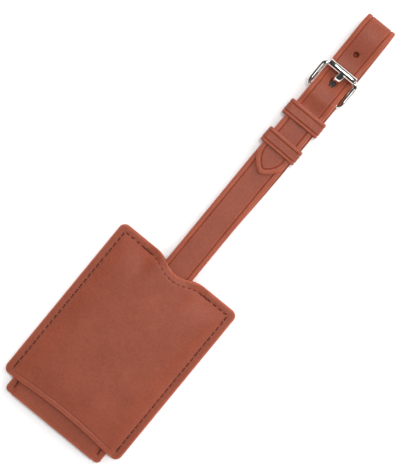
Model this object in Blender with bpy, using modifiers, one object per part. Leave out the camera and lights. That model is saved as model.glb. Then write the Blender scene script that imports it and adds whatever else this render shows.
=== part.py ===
"""Leather luggage tag: a card holder on a buckled strap, inside a cover that slides along the strap.

The tag lies on its back on a table. X runs across it, Y along it from the card end to the fold of the
strap, and Z up from the table. The origin is under the middle of the whole tag. Lengths are in metres.
"""

import math

import bmesh
import bpy
from mathutils import Vector

# Materials' thickness, and the gaps between pieces
COVER_LEATHER = 0.0009
LINING = 0.0002
PLY_GAP = 0.0001  # between plies that are glued or sewn flat together
GAP = 0.0003  # between pieces that only touch
STRAP_LEATHER = 0.0012
KEEPER_LEATHER = 0.0010
THREAD_RADIUS = 0.0002

# Cover: the outer sleeve, open at its mouth and at its bottom
COVER_HALF = 0.0350
COVER_TOP = -0.0264
COVER_BOTTOM = -0.1168
COVER_CORNER = 0.0032
BOTTOM_SAG = 0.0018  # how far the bottom edge is cut up at its middle
NOTCH_HALF = 0.0145
NOTCH_DEPTH = 0.0040
BACK_NOTCH_DEPTH = 0.0035
LINING_INSET = 0.0008
SEAM_INSET = 0.0036
MOUTH_HALF = 0.0163  # the mouth is unsewn between its two reinforced ends
MOUTH_SEAM_DEPTH = 0.0037
MOUTH_SEAM_HALF = 0.0155

# Heights in the cover
BACK_LINING_Z = COVER_LEATHER + PLY_GAP
FLOOR_Z = BACK_LINING_Z + LINING + GAP  # where the holder and the strap lie inside it
MARGIN_Z = BACK_LINING_Z + 2 * LINING + 3 * PLY_GAP  # inner face of the front leather at the seams
WALL_START = 0.0313
WALL_WIDTH = 0.0042
WALL_RISE = 0.0031
DOME_RISE = 0.0014
MOUTH_RISE = 0.0037
LOOP_RISE = 0.0008  # more height under the mouth, over the strap's turn through the holder
LOOP_RISE_LENGTH = 0.0030
MOUTH_FLAT = 0.0090
MOUTH_FADE = 0.0095
PINCH_START = -0.0299
PINCH_LENGTH = 0.0140
PINCH_LEAD = 0.0015  # from the start of the pinch to the next station towards the mouth
DOME_STATION_X = 0.0230
BODY_STATION_Y = -0.0800

# Cutting blocks reach well past the sheets that they trim
OVERCUT = 0.0010
CUTTER_LOW = -0.0020
CUTTER_HIGH = 0.0120

# Card holder
HOLDER_HALF = 0.0285
HOLDER_BOTTOM = -0.1233
HOLDER_TOP = -0.0533
HOLDER_CORNER = 0.0022
HOLDER_SEAM_INSET = 0.0032
TAB_HALF = 0.0110
TAB_TOP = -0.0403
TAB_CORNER = 0.0020
HOLDER_SEAM_END = 0.0022  # from the holder's bottom edge to the ends of its seam
TAB_BEND_START = -0.0530
TAB_BEND_END = -0.0485
SLOT_HALF = 0.0086
SLOT_LOW = -0.0472
SLOT_HIGH = -0.0445
SLOT_CORNER = 0.0006
WINDOW_HALF = 0.0190
WINDOW_LOW = -0.1118
WINDOW_HIGH = -0.0620
WINDOW_CORNER = 0.0025
POCKET_MARGIN = 0.0004  # from the seam to the pocket
POCKET_WALL = 0.0020  # width over which the frame rises over the card and the window
FILM = 0.0002
FILM_CORNER = 0.0010
FILM_INSET = 0.0025  # from the holder's bottom edge
CARD = 0.0003
CARD_CORNER = 0.0020
CARD_HALF = 0.0232
CARD_LOW = -0.1205
CARD_HIGH = -0.0588

# Strap: its centreline heights, all above the table
STRAP_HALF = 0.0080
TONGUE_HALF = 0.0078
LOW_LAYER_Z = FLOOR_Z + STRAP_LEATHER / 2
HIGH_LAYER_Z = LOW_LAYER_Z + STRAP_LEATHER + GAP
BAR_LAYER_Z = HIGH_LAYER_Z + STRAP_LEATHER  # over the holder's bar
BAR_STEP_START = TAB_TOP - 0.0002  # where the strap comes down off the bar
BAR_STEP_END = TAB_TOP + 0.0048
TABLE_LAYER_Z = STRAP_LEATHER / 2
TONGUE_Z = HIGH_LAYER_Z + STRAP_LEATHER + GAP
FLEX_Y = -0.0240  # the strap bends here, just above the cover's mouth
LOWER_START = 0.0245
LOWER_END = 0.0325
LAYER_OFFSET = 0.0008  # the back layer lies this far to the right of the front one
OFFSET_LENGTH = 0.0300
BACK_RUN_Y = 0.0750  # a station on the back layer's flat run
UPPER_RUN_Y = 0.0200  # a station on the flat run of the buckle's layer
TURN_Y = SLOT_HIGH + GAP
FOLD_TOP = 0.1233
FOLD_RADIUS = 0.0032
TIP_Y = 0.0316
TIP_LENGTH = 0.0115
TIP_BLUNT = 0.0004
FREE_HOLE_Y = 0.1037
FREE_HOLE_RADIUS = 0.00135
HOLE_SIDES = 24
TONGUE_CUT_LOW = 0.0025  # the tongue's holes are cut above this, clear of the back layer
WORN_HOLE_LOW = 0.0831
WORN_HOLE_HIGH = 0.0886
WORN_HOLE_HALF = 0.0019
WORN_HOLE_CORNER = 0.00189

# Buckle: a closed wire frame, a roller on its front bar and a prong on its heel bar
HEEL_Y = 0.0794
HEEL_RADIUS = 0.0008
WRAP_RADIUS = HEEL_RADIUS + 0.00015 + STRAP_LEATHER / 2
HEEL_Z = TABLE_LAYER_Z + STRAP_LEATHER + 0.0005 + WRAP_RADIUS
FRONT_BAR_Y = 0.0933
FRONT_BAR_RADIUS = 0.0010
ROLLER_RADIUS = 0.0020
ROLLER_BORE = 0.00115
ROLLER_HALF = 0.0077
FRAME_HALF = 0.0099
FRAME_WIRE = 0.0012
HEEL_CORNER = 0.0021
FRONT_CORNER = 0.0019
UNDER_ROLLER_Z = HIGH_LAYER_Z + 0.0001
FRONT_BAR_Z = UNDER_ROLLER_Z + STRAP_LEATHER / 2 + 0.0002 + ROLLER_RADIUS
OVER_HEEL_Z = HEEL_Z + WRAP_RADIUS + STRAP_LEATHER + GAP
CLIMB_START = 0.0695
CLIMB_END = 0.0775
DIP_START = 0.0805
DIP_END = 0.0920
RISE_START = 0.0950
RISE_SHAPE = 0.85  # below 1 the tongue rises sooner on its way to the fold
TURN_BACK_END = 0.0705
TURNBACK_THREAD_DROP = 0.00025  # from the turned-back end's underside to the thread's centre
TURNBACK_SEAM_Y = TURN_BACK_END + 0.0025
TURNBACK_SEAM_HALF = 0.0060
PRONG_HALF = 0.0015
PRONG_THICKNESS = 0.0010
PRONG_SLOT_HALF = 0.0019
PRONG_SLOT = (0.0768, 0.0830)
PRONG_SLOT_CORNER = 0.0012
PRONG_RING = HEEL_RADIUS + 0.00012 + PRONG_THICKNESS / 2
PRONG_LIFT = 0.0002 + PRONG_THICKNESS / 2  # of the prong's centreline over the roller
# The prong's centreline in Y and Z: under the tongue and up its hole from the heel bar's axis, ...
PRONG_RISE = [(0.0013, 0.00128), (0.0028, 0.00085), (0.0044, 0.00066), (0.0058, 0.00086)]
PRONG_RISE += [(0.0072, 0.00155), (0.0086, 0.00250)]
# ... up to the roller, in Y from the heel bar's axis and in Z from its height over the roller, ...
PRONG_BEND = [(0.0102, -0.00150), (0.0118, -0.00055)]
# ... and over the roller, in Y from the roller's axis.
PRONG_REST = [(-0.0010, -0.00008), (0.0, 0.0), (0.0009, -0.00018)]
PRONG_TAPER = [0.9, 0.55]  # share of its width left at the last two points
PIVOT_SIZE = 0.0040

# Keepers
KEEPER_HALF = 0.0095
KEEPER_LOW = HIGH_LAYER_Z - STRAP_LEATHER / 2 - GAP - KEEPER_LEATHER / 2
KEEPER_HIGH = TONGUE_Z + STRAP_LEATHER / 2 + GAP + KEEPER_LEATHER / 2
KEEPER_CORNER = 0.0014
FIXED_KEEPER = (0.0611, 0.0691)
SLIDING_KEEPER = (0.0445, 0.0522)
SLIDING_KEEPER_SKEW = math.radians(-1.2)

# Colours
LEATHER_COLOUR = (0.34, 0.10, 0.055, 1.0)
LINING_COLOUR = (0.20, 0.07, 0.04, 1.0)
THREAD_COLOUR = (0.12, 0.03, 0.02, 1.0)
NICKEL_COLOUR = (0.80, 0.78, 0.75, 1.0)
FILM_COLOUR = (0.95, 0.96, 0.97, 1.0)
PAPER_COLOUR = (0.86, 0.84, 0.78, 1.0)

# Points of a mesh nearer than this are one point
MERGE = 0.000001
SCREW_MERGE = 0.00001
SCREW_STEPS = 24


def smooth(t):
    """0 below 0, 1 above 1, and an even curve between."""
    t = min(1.0, max(0.0, t))
    return t * t * (3 - 2 * t)


def spread(start, stop, steps):
    """Values from start to stop, both ends included."""
    return [start + (stop - start) * i / steps for i in range(steps + 1)]


def arc(centre, radius, start, stop, steps=6):
    """Points on a circle, with the angles in degrees."""
    angles = [math.radians(a) for a in spread(start, stop, steps)]
    return [(centre[0] + radius * math.cos(a), centre[1] + radius * math.sin(a)) for a in angles]


def rounded_box(low, high, radius, steps=6):
    """The outline of a rectangle with round corners, anticlockwise."""
    x0, y0 = low[0] + radius, low[1] + radius
    x1, y1 = high[0] - radius, high[1] - radius
    points = arc((x0, y0), radius, 180, 270, steps)
    points += arc((x1, y0), radius, 270, 360, steps)
    points += arc((x1, y1), radius, 0, 90, steps)
    points += arc((x0, y1), radius, 90, 180, steps)
    return points


# ---- Scene, materials and objects ----


def clear_scene():
    for obj in list(bpy.data.objects):
        bpy.data.objects.remove(obj)


def new_collection(name):
    collection = bpy.data.collections.new(name)
    bpy.context.scene.collection.children.link(collection)
    return collection


def new_material(name, colour, roughness, metallic=0.0, alpha=1.0):
    material = bpy.data.materials.new(name)
    material.use_nodes = True
    shader = material.node_tree.nodes["Principled BSDF"]
    shader.inputs["Base Color"].default_value = colour
    shader.inputs["Roughness"].default_value = roughness
    shader.inputs["Metallic"].default_value = metallic
    shader.inputs["Alpha"].default_value = alpha
    return material


def mesh_object(name, bm, material, collection):
    mesh = bpy.data.meshes.new(name)
    bm.to_mesh(mesh)
    bm.free()
    mesh.materials.append(material)
    obj = bpy.data.objects.new(name, mesh)
    collection.objects.link(obj)
    return obj


def as_cutter(obj):
    obj.hide_render = True
    obj.display_type = "WIRE"
    return obj


def solidify(obj, thickness, offset=0.0):
    modifier = obj.modifiers.new("thickness", "SOLIDIFY")
    modifier.thickness = thickness
    modifier.offset = offset
    modifier.use_even_offset = True
    return modifier


def cut(obj, cutter, operation="DIFFERENCE"):
    modifier = obj.modifiers.new(cutter.name, "BOOLEAN")
    modifier.operation = operation
    modifier.solver = "EXACT"
    modifier.object = cutter


def flat_plate(name, loops, low, high, material, collection):
    """A plate between two heights, from an outline and any holes in it."""
    curve = bpy.data.curves.new(name, "CURVE")
    curve.dimensions = "2D"
    curve.fill_mode = "BOTH"
    curve.extrude = (high - low) / 2
    for loop in loops:
        spline = curve.splines.new("POLY")
        spline.points.add(len(loop) - 1)
        for point, (x, y) in zip(spline.points, loop):
            point.co = (x, y, 0, 1)
        spline.use_cyclic_u = True
    drawn = bpy.data.objects.new(name + "_outline", curve)
    collection.objects.link(drawn)
    drawn.location.z = (low + high) / 2
    bpy.context.view_layer.update()
    graph = bpy.context.evaluated_depsgraph_get()
    mesh = bpy.data.meshes.new_from_object(drawn.evaluated_get(graph))
    matrix = drawn.matrix_world.copy()
    bpy.data.objects.remove(drawn)
    bm = bmesh.new()
    bm.from_mesh(mesh)
    bpy.data.meshes.remove(mesh)
    bmesh.ops.remove_doubles(bm, verts=bm.verts, dist=MERGE)
    plate = mesh_object(name, bm, material, collection)
    plate.matrix_world = matrix
    return plate


def draped_grid(name, xs, ys, height, material, collection):
    """An open sheet over the given stations, at height(x, y)."""
    bm = bmesh.new()
    bmesh.ops.create_grid(bm, x_segments=len(xs) - 1, y_segments=len(ys) - 1, size=1)
    for vert in bm.verts:
        column = round((vert.co.x + 1) / 2 * (len(xs) - 1))
        row = round((vert.co.y + 1) / 2 * (len(ys) - 1))
        x, y = xs[column], ys[row]
        vert.co = (x, y, height(x, y))
    return mesh_object(name, bm, material, collection)


def ribbon(name, path, thickness, half_width, material, collection, shift=None):
    """A strip along a path of (y, z) points. half_width and shift are functions of a point's index."""
    bm = bmesh.new()
    verts = [bm.verts.new((-half_width(i), y, z)) for i, (y, z) in enumerate(path)]
    edges = [bm.edges.new(pair) for pair in zip(verts, verts[1:])]
    made = bmesh.ops.extrude_edge_only(bm, edges=edges)["geom"]
    for vert in made:
        if isinstance(vert, bmesh.types.BMVert):
            vert.co.x = -vert.co.x
    if shift:
        by_place = {(round(y, 7), round(z, 7)): shift(i) for i, (y, z) in enumerate(path)}
        for vert in bm.verts:
            vert.co.x += by_place[(round(vert.co.y, 7), round(vert.co.z, 7))]
    obj = mesh_object(name, bm, material, collection)
    solidify(obj, thickness)
    return obj


def tube(name, points, radius, material, collection, cyclic=False, radii=None, resolution=2):
    """A round wire or thread through 3-D points."""
    curve = bpy.data.curves.new(name, "CURVE")
    curve.dimensions = "3D"
    curve.bevel_depth = radius
    curve.bevel_resolution = resolution
    curve.use_fill_caps = not cyclic
    spline = curve.splines.new("POLY")
    spline.points.add(len(points) - 1)
    for i, (point, place) in enumerate(zip(spline.points, points)):
        point.co = (*place, 1)
        point.radius = radii[i] if radii else 1.0
    spline.use_cyclic_u = cyclic
    curve.materials.append(material)
    obj = bpy.data.objects.new(name, curve)
    collection.objects.link(obj)
    return obj


def empty_at(name, place, collection):
    obj = bpy.data.objects.new(name, None)
    obj.empty_display_size = PIVOT_SIZE
    obj.location = place
    collection.objects.link(obj)
    return obj


# ---- Cover ----


def notch_edge(x, depth, half=NOTCH_HALF):
    """How far the mouth's edge dips below the shoulders."""
    if abs(x) >= half:
        return 0.0
    return depth / 2 * (1 + math.cos(math.pi * x / half))


def cover_outline(inset, depth):
    half = COVER_HALF - inset
    radius = COVER_CORNER - inset
    top, bottom = COVER_TOP - inset, COVER_BOTTOM + inset
    straight = half - radius
    points = arc((-straight, bottom + radius), radius, 180, 270)
    for x in spread(-straight, straight, 14)[1:-1]:
        points.append((x, bottom + BOTTOM_SAG * (1 - (x / straight) ** 2)))
    points += arc((straight, bottom + radius), radius, 270, 360)
    points += arc((straight, top - radius), radius, 0, 90)
    for x in spread(NOTCH_HALF, -NOTCH_HALF, 20):
        points.append((x, top - notch_edge(x, depth)))
    points += arc((-straight, top - radius), radius, 90, 180)
    return points


def body_rise(x):
    """Height of the front panel over its sewn margin, in the body of the cover."""
    wall = WALL_RISE * smooth((WALL_START - abs(x)) / WALL_WIDTH)
    dome = DOME_RISE * max(0.0, 1 - (x / WALL_START) ** 2)
    return wall + dome


def mouth_rise(x, y):
    """Height over the margin at the mouth, where the strap passes out."""
    across = smooth((MOUTH_FLAT + MOUTH_FADE - abs(x)) / MOUTH_FADE)
    return across * (MOUTH_RISE + LOOP_RISE * smooth((COVER_TOP - NOTCH_DEPTH - y) / LOOP_RISE_LENGTH))


def front_height(x, y):
    """Inner face of the front leather."""
    blend = smooth((PINCH_START - y) / PINCH_LENGTH)
    mouth = mouth_rise(x, y)
    return MARGIN_Z + mouth + blend * (body_rise(x) - mouth)


def mirrored(values):
    return [-v for v in reversed(values)] + [v for v in values if v > 0]


def front_stations():
    centre = spread(0, MOUTH_FLAT, 2) + spread(MOUTH_FLAT, MOUTH_FLAT + MOUTH_FADE, 5)[1:]
    wall = spread(WALL_START - WALL_WIDTH, WALL_START, 6)
    xs = mirrored(centre + [DOME_STATION_X] + wall + [COVER_HALF + OVERCUT])
    ys = [COVER_BOTTOM - OVERCUT, BODY_STATION_Y] + spread(PINCH_START - PINCH_LENGTH, PINCH_START, 9)
    ys += [PINCH_START + PINCH_LEAD, COVER_TOP + OVERCUT]
    return xs, ys


def flat_outline_sheet(name, inset, depth, low, thickness, material, collection):
    return flat_plate(name, [cover_outline(inset, depth)], low, low + thickness, material, collection)


def front_sheet(name, inset, thickness, offset, material, collection, cutters):
    xs, ys = front_stations()
    sheet = draped_grid(name, xs, ys, front_height, material, collection)
    solidify(sheet, thickness, offset)
    outline = cover_outline(inset, NOTCH_DEPTH)
    block = flat_plate(name + "_outline", [outline], CUTTER_LOW, CUTTER_HIGH, material, cutters)
    cut(sheet, as_cutter(block), "INTERSECT")
    return sheet


def seam_height(x, y):
    """Height of a thread's centre on the front panel."""
    return front_height(x, y) + COVER_LEATHER + GAP / 2 + THREAD_RADIUS


def side_seam_points(side):
    """Up one side of the cover and along its shoulder to the mouth's end, side -1 or 1."""
    x_seam = COVER_HALF - SEAM_INSET
    y_seam = COVER_TOP - SEAM_INSET
    plan = [(x_seam, y) for y in spread(COVER_BOTTOM + SEAM_INSET, y_seam, 8)]
    plan += [(x, y_seam) for x in spread(x_seam, MOUTH_HALF, 8)[1:]]
    return [(side * x, y, seam_height(x, y)) for x, y in plan]


def mouth_seam_points():
    y_seam = COVER_TOP - SEAM_INSET
    plan = []
    for x in spread(-MOUTH_SEAM_HALF, MOUTH_SEAM_HALF, 24):
        plan.append((x, y_seam - notch_edge(x, MOUTH_SEAM_DEPTH)))
    return [(x, y, seam_height(x, y)) for x, y in plan]


def build_cover(leather, lining, thread, tag, cutters):
    flat_outline_sheet("cover_back_panel", 0, BACK_NOTCH_DEPTH, 0, COVER_LEATHER, leather, tag)
    flat_outline_sheet(
        "cover_back_lining", LINING_INSET, BACK_NOTCH_DEPTH, BACK_LINING_Z, LINING, lining, tag
    )
    front_sheet("cover_front_panel", 0, COVER_LEATHER, 1, leather, tag, cutters)
    lining_offset = -1 - 2 * PLY_GAP / LINING
    front_sheet("cover_front_lining", LINING_INSET, LINING, lining_offset, lining, tag, cutters)
    tube("cover_seam_thread_left", side_seam_points(-1), THREAD_RADIUS, thread, tag, resolution=1)
    tube("cover_seam_thread_right", side_seam_points(1), THREAD_RADIUS, thread, tag, resolution=1)
    tube("mouth_seam_thread", mouth_seam_points(), THREAD_RADIUS, thread, tag, resolution=1)


# ---- Card holder ----

HOLDER_FRAME_Z = FLOOR_Z + COVER_LEATHER + PLY_GAP
CARD_Z = HOLDER_FRAME_Z
FILM_Z = CARD_Z + CARD + PLY_GAP
FRAME_LIFT = CARD + FILM + 2 * PLY_GAP


def holder_back_outline():
    x0, y0 = HOLDER_HALF - HOLDER_CORNER, HOLDER_BOTTOM + HOLDER_CORNER
    shoulder = HOLDER_TOP - HOLDER_CORNER
    points = arc((-x0, y0), HOLDER_CORNER, 180, 270)
    points += arc((x0, y0), HOLDER_CORNER, 270, 360)
    points += arc((x0, shoulder), HOLDER_CORNER, 0, 90)
    points.append((TAB_HALF, HOLDER_TOP))
    points += arc((TAB_HALF - TAB_CORNER, TAB_TOP - TAB_CORNER), TAB_CORNER, 0, 90)
    points += arc((-TAB_HALF + TAB_CORNER, TAB_TOP - TAB_CORNER), TAB_CORNER, 90, 180)
    points.append((-TAB_HALF, HOLDER_TOP))
    points += arc((-x0, shoulder), HOLDER_CORNER, 90, 180)
    return points


def holder_back_height(x, y):
    rise = HIGH_LAYER_Z - STRAP_LEATHER / 2 - FLOOR_Z
    return FLOOR_Z + rise * smooth((y - TAB_BEND_START) / (TAB_BEND_END - TAB_BEND_START))


POCKET_HALF = HOLDER_HALF - HOLDER_SEAM_INSET - POCKET_MARGIN
POCKET_TOP = HOLDER_TOP - HOLDER_SEAM_INSET - POCKET_MARGIN


def holder_frame_height(x, y):
    """Pinched to the back panel along the sides and the top, and lifted over the card between them."""
    from_edge = min(POCKET_HALF - abs(x), POCKET_TOP - y)
    return HOLDER_FRAME_Z + FRAME_LIFT * smooth(from_edge / POCKET_WALL)


def build_holder(leather, thread, clear, paper, tag, cutters):
    back_ys = [HOLDER_BOTTOM - OVERCUT] + spread(TAB_BEND_START, TAB_BEND_END, 6) + [TAB_TOP + OVERCUT]
    side_xs = [-HOLDER_HALF - OVERCUT, 0, HOLDER_HALF + OVERCUT]
    back = draped_grid("holder_back_panel", side_xs, back_ys, holder_back_height, leather, tag)
    solidify(back, COVER_LEATHER, 1)
    slot = rounded_box((-SLOT_HALF, SLOT_LOW), (SLOT_HALF, SLOT_HIGH), SLOT_CORNER, 3)
    outline = [holder_back_outline(), slot]
    block = flat_plate("holder_back_outline", outline, CUTTER_LOW, CUTTER_HIGH, leather, cutters)
    cut(back, as_cutter(block), "INTERSECT")

    wall_xs = spread(POCKET_HALF - POCKET_WALL, POCKET_HALF, 4)
    frame_xs = mirrored([0.0] + wall_xs + [HOLDER_HALF + OVERCUT])
    frame_ys = [HOLDER_BOTTOM - OVERCUT] + spread(POCKET_TOP - POCKET_WALL, POCKET_TOP, 4)
    frame_ys.append(HOLDER_TOP + OVERCUT)
    frame = draped_grid("holder_front_frame", frame_xs, frame_ys, holder_frame_height, leather, tag)
    solidify(frame, COVER_LEATHER, 1)
    rim = rounded_box((-HOLDER_HALF, HOLDER_BOTTOM), (HOLDER_HALF, HOLDER_TOP), HOLDER_CORNER)
    window = rounded_box((-WINDOW_HALF, WINDOW_LOW), (WINDOW_HALF, WINDOW_HIGH), WINDOW_CORNER, 4)
    block = flat_plate("holder_frame_outline", [rim, window], CUTTER_LOW, CUTTER_HIGH, leather, cutters)
    cut(frame, as_cutter(block), "INTERSECT")

    film = rounded_box((-CARD_HALF, HOLDER_BOTTOM + FILM_INSET), (CARD_HALF, CARD_HIGH), FILM_CORNER, 3)
    flat_plate("holder_window", [film], FILM_Z, FILM_Z + FILM, clear, tag)
    card = rounded_box((-CARD_HALF, CARD_LOW), (CARD_HALF, CARD_HIGH), CARD_CORNER, 4)
    flat_plate("id_card", [card], CARD_Z, CARD_Z + CARD, paper, tag)

    x_seam, y_seam = HOLDER_HALF - HOLDER_SEAM_INSET, HOLDER_TOP - HOLDER_SEAM_INSET
    z_seam = HOLDER_FRAME_Z + COVER_LEATHER + GAP / 2 + THREAD_RADIUS
    y_low = HOLDER_BOTTOM + HOLDER_SEAM_END
    plan = [(-x_seam, y) for y in spread(y_low, y_seam, 4)]
    plan += [(x, y_seam) for x in spread(-x_seam, x_seam, 4)[1:-1]]
    plan += [(x_seam, y) for y in spread(y_seam, y_low, 4)]
    tube("holder_seam_thread", [(x, y, z_seam) for x, y in plan], THREAD_RADIUS, thread, tag, resolution=1)


# ---- Strap ----


def front_layer_z(y):
    """Centreline of the tongue, from its tip on the strap, through the buckle, to the fold."""
    if y <= DIP_START:
        return TONGUE_Z + (OVER_HEEL_Z - TONGUE_Z) * smooth((y - CLIMB_START) / (CLIMB_END - CLIMB_START))
    if y <= RISE_START:
        drop = smooth((y - DIP_START) / (DIP_END - DIP_START))
        return OVER_HEEL_Z + (UNDER_ROLLER_Z - OVER_HEEL_Z) * drop
    top = TABLE_LAYER_Z + 2 * FOLD_RADIUS
    share = ((y - RISE_START) / (FOLD_TOP - STRAP_LEATHER / 2 - FOLD_RADIUS - RISE_START)) ** RISE_SHAPE
    return UNDER_ROLLER_Z + (top - UNDER_ROLLER_Z) * smooth(share)


def back_layer_z(y):
    """Centreline of the layer underneath, from the cover's mouth to the fold."""
    drop = smooth((y - LOWER_START) / (LOWER_END - LOWER_START))
    return LOW_LAYER_Z + (TABLE_LAYER_Z - LOW_LAYER_Z) * drop


def tip_half_width(distance):
    """Half the tongue's width at a distance from its point: a pointed arch of two arcs."""
    if distance >= TIP_LENGTH:
        return TONGUE_HALF
    radius = (TIP_LENGTH**2 + TONGUE_HALF**2) / (2 * TONGUE_HALF)
    return max(TIP_BLUNT, math.sqrt(radius**2 - (TIP_LENGTH - distance) ** 2) - (radius - TONGUE_HALF))


def tongue_path():
    ys = [FLEX_Y + GAP / 2] + spread(LOWER_START, LOWER_END, 6) + [BACK_RUN_Y]
    path = [(y, back_layer_z(y)) for y in ys]
    fold_y = FOLD_TOP - STRAP_LEATHER / 2 - FOLD_RADIUS
    path += arc((fold_y, TABLE_LAYER_Z + FOLD_RADIUS), FOLD_RADIUS, -90, 90, 12)
    front = spread(fold_y, RISE_START, 12)[1:] + spread(DIP_END, DIP_START, 10)
    front += spread(CLIMB_END, CLIMB_START, 6) + spread(TIP_Y + TIP_LENGTH, TIP_Y, 8)
    return path + [(y, front_layer_z(y)) for y in front]


def build_tongue_side(leather, tag, cutters):
    path = tongue_path()
    fold = FOLD_TOP - STRAP_LEATHER / 2 - FOLD_RADIUS
    top_index = next(i for i, (y, z) in enumerate(path) if z > TABLE_LAYER_Z + FOLD_RADIUS and y > fold)

    def half_width(i):
        return tip_half_width(path[i][0] - TIP_Y) if i >= top_index else STRAP_HALF

    def shift(i):
        return 0.0 if i >= top_index else LAYER_OFFSET * smooth((path[i][0] - LOWER_START) / OFFSET_LENGTH)

    tongue = ribbon("strap_tongue_side", path, STRAP_LEATHER, half_width, leather, tag, shift)
    round_hole = arc((0, FREE_HOLE_Y), FREE_HOLE_RADIUS, 0, 360, HOLE_SIDES)[:-1]
    free = flat_plate("free_hole", [round_hole], TONGUE_CUT_LOW, CUTTER_HIGH, leather, cutters)
    low, high = (-WORN_HOLE_HALF, WORN_HOLE_LOW), (WORN_HOLE_HALF, WORN_HOLE_HIGH)
    long_hole = rounded_box(low, high, WORN_HOLE_CORNER, 8)
    worn = flat_plate("worn_hole", [long_hole], TONGUE_CUT_LOW, CUTTER_HIGH, leather, cutters)
    cut(tongue, as_cutter(free))
    cut(tongue, as_cutter(worn))


def build_buckle_side(leather, tag, cutters):
    climb = OVER_HEEL_Z - STRAP_LEATHER - GAP - HIGH_LAYER_Z
    ys = [FLEX_Y + GAP / 2, UPPER_RUN_Y] + spread(CLIMB_START, CLIMB_END, 6)
    span = CLIMB_END - CLIMB_START
    path = [(y, HIGH_LAYER_Z + climb * smooth((y - CLIMB_START) / span)) for y in ys]
    path += arc((HEEL_Y, HEEL_Z), WRAP_RADIUS, 90, -90, 12)
    path.append((TURN_BACK_END, HEEL_Z - WRAP_RADIUS))
    strap = ribbon("strap_buckle_side", path, STRAP_LEATHER, lambda i: STRAP_HALF, leather, tag)
    low, high = (-PRONG_SLOT_HALF, PRONG_SLOT[0]), (PRONG_SLOT_HALF, PRONG_SLOT[1])
    slot = rounded_box(low, high, PRONG_SLOT_CORNER, 4)
    cutter = flat_plate("prong_slot", [slot], CUTTER_LOW, CUTTER_HIGH, leather, cutters)
    cut(strap, as_cutter(cutter))


def build_turnback_thread(thread, tag):
    """The seam that holds the end of the strap round the buckle's heel bar, under the turned-back end."""
    z = HEEL_Z - WRAP_RADIUS - STRAP_LEATHER / 2 - TURNBACK_THREAD_DROP
    points = [(x, TURNBACK_SEAM_Y, z) for x in (-TURNBACK_SEAM_HALF, TURNBACK_SEAM_HALF)]
    tube("turnback_seam_thread", points, THREAD_RADIUS, thread, tag, resolution=1)


def build_strap_root(leather, tag):
    """The strap's turn through the holder's slot, up to where it bends at the mouth."""
    centre_z = (LOW_LAYER_Z + BAR_LAYER_Z) / 2
    path = [(FLEX_Y - GAP / 2, LOW_LAYER_Z)]
    path += arc((TURN_Y, centre_z), BAR_LAYER_Z - centre_z, 270, 90, 12)
    for y in spread(BAR_STEP_START, BAR_STEP_END, 6):
        share = smooth((y - BAR_STEP_START) / (BAR_STEP_END - BAR_STEP_START))
        path.append((y, BAR_LAYER_Z + (HIGH_LAYER_Z - BAR_LAYER_Z) * share))
    path.append((FLEX_Y - GAP / 2, HIGH_LAYER_Z))
    ribbon("strap_root", path, STRAP_LEATHER, lambda i: STRAP_HALF, leather, tag)


# ---- Buckle ----


def frame_points(length):
    """The wire's centreline in the frame's own plane, with each point's share of the arms' thickness."""
    half, rear, front = FRAME_HALF, HEEL_CORNER, FRONT_CORNER
    heel, bar = HEEL_RADIUS / FRAME_WIRE, FRONT_BAR_RADIUS / FRAME_WIRE
    corners = [
        (arc((half - rear, rear), rear, 270, 360), heel, 1.0),
        (arc((half - front, length - front), front, 0, 90), 1.0, bar),
        (arc((-half + front, length - front), front, 90, 180), bar, 1.0),
        (arc((-half + rear, rear), rear, 180, 270), 1.0, heel),
    ]
    points, radii = [], []
    for places, first, last in corners:
        points += [(x, y, 0) for x, y in places]
        radii += spread(first, last, len(places) - 1)
    return points, radii


def build_buckle(metal, tag):
    pivot = empty_at("buckle_pivot", (0, HEEL_Y, HEEL_Z), tag)
    length = math.hypot(FRONT_BAR_Y - HEEL_Y, FRONT_BAR_Z - HEEL_Z)
    pivot.rotation_euler.x = math.atan2(FRONT_BAR_Z - HEEL_Z, FRONT_BAR_Y - HEEL_Y)
    points, radii = frame_points(length)
    frame = tube("buckle_frame", points, FRAME_WIRE, metal, tag, cyclic=True, radii=radii)
    frame.parent = pivot

    bm = bmesh.new()
    profile = [(ROLLER_HALF, ROLLER_BORE), (ROLLER_HALF, ROLLER_RADIUS)]
    profile += [(-ROLLER_HALF, ROLLER_RADIUS), (-ROLLER_HALF, ROLLER_BORE)]
    verts = [bm.verts.new((x, 0, r)) for x, r in profile]
    for pair in zip(verts, verts[1:] + verts[:1]):
        bm.edges.new(pair)
    roller = mesh_object("buckle_roller", bm, metal, tag)
    roller.location.y = length
    screw = roller.modifiers.new("turn", "SCREW")
    screw.axis = "X"
    screw.steps = SCREW_STEPS
    screw.render_steps = SCREW_STEPS
    screw.use_merge_vertices = True
    screw.merge_threshold = SCREW_MERGE
    roller.parent = pivot


def prong_path():
    """Round the heel bar, under the tongue, up through its hole and over the roller; from the heel's axis."""
    points = arc((0, 0), PRONG_RING, -30, -270, 14)
    top = FRONT_BAR_Z - HEEL_Z + ROLLER_RADIUS + PRONG_LIFT
    reach = FRONT_BAR_Y - HEEL_Y
    points += PRONG_RISE
    points += [(y, top + z) for y, z in PRONG_BEND]
    points += [(reach + y, top + z) for y, z in PRONG_REST]
    return points


def build_prong(metal, tag):
    path = prong_path()

    def half_width(i):
        from_tip = i - len(path)
        return PRONG_HALF * (PRONG_TAPER[from_tip] if from_tip >= -len(PRONG_TAPER) else 1.0)

    prong = ribbon("buckle_prong", path, PRONG_THICKNESS, half_width, metal, tag)
    prong.location = (0, HEEL_Y, HEEL_Z)


# ---- Keepers ----


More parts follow.
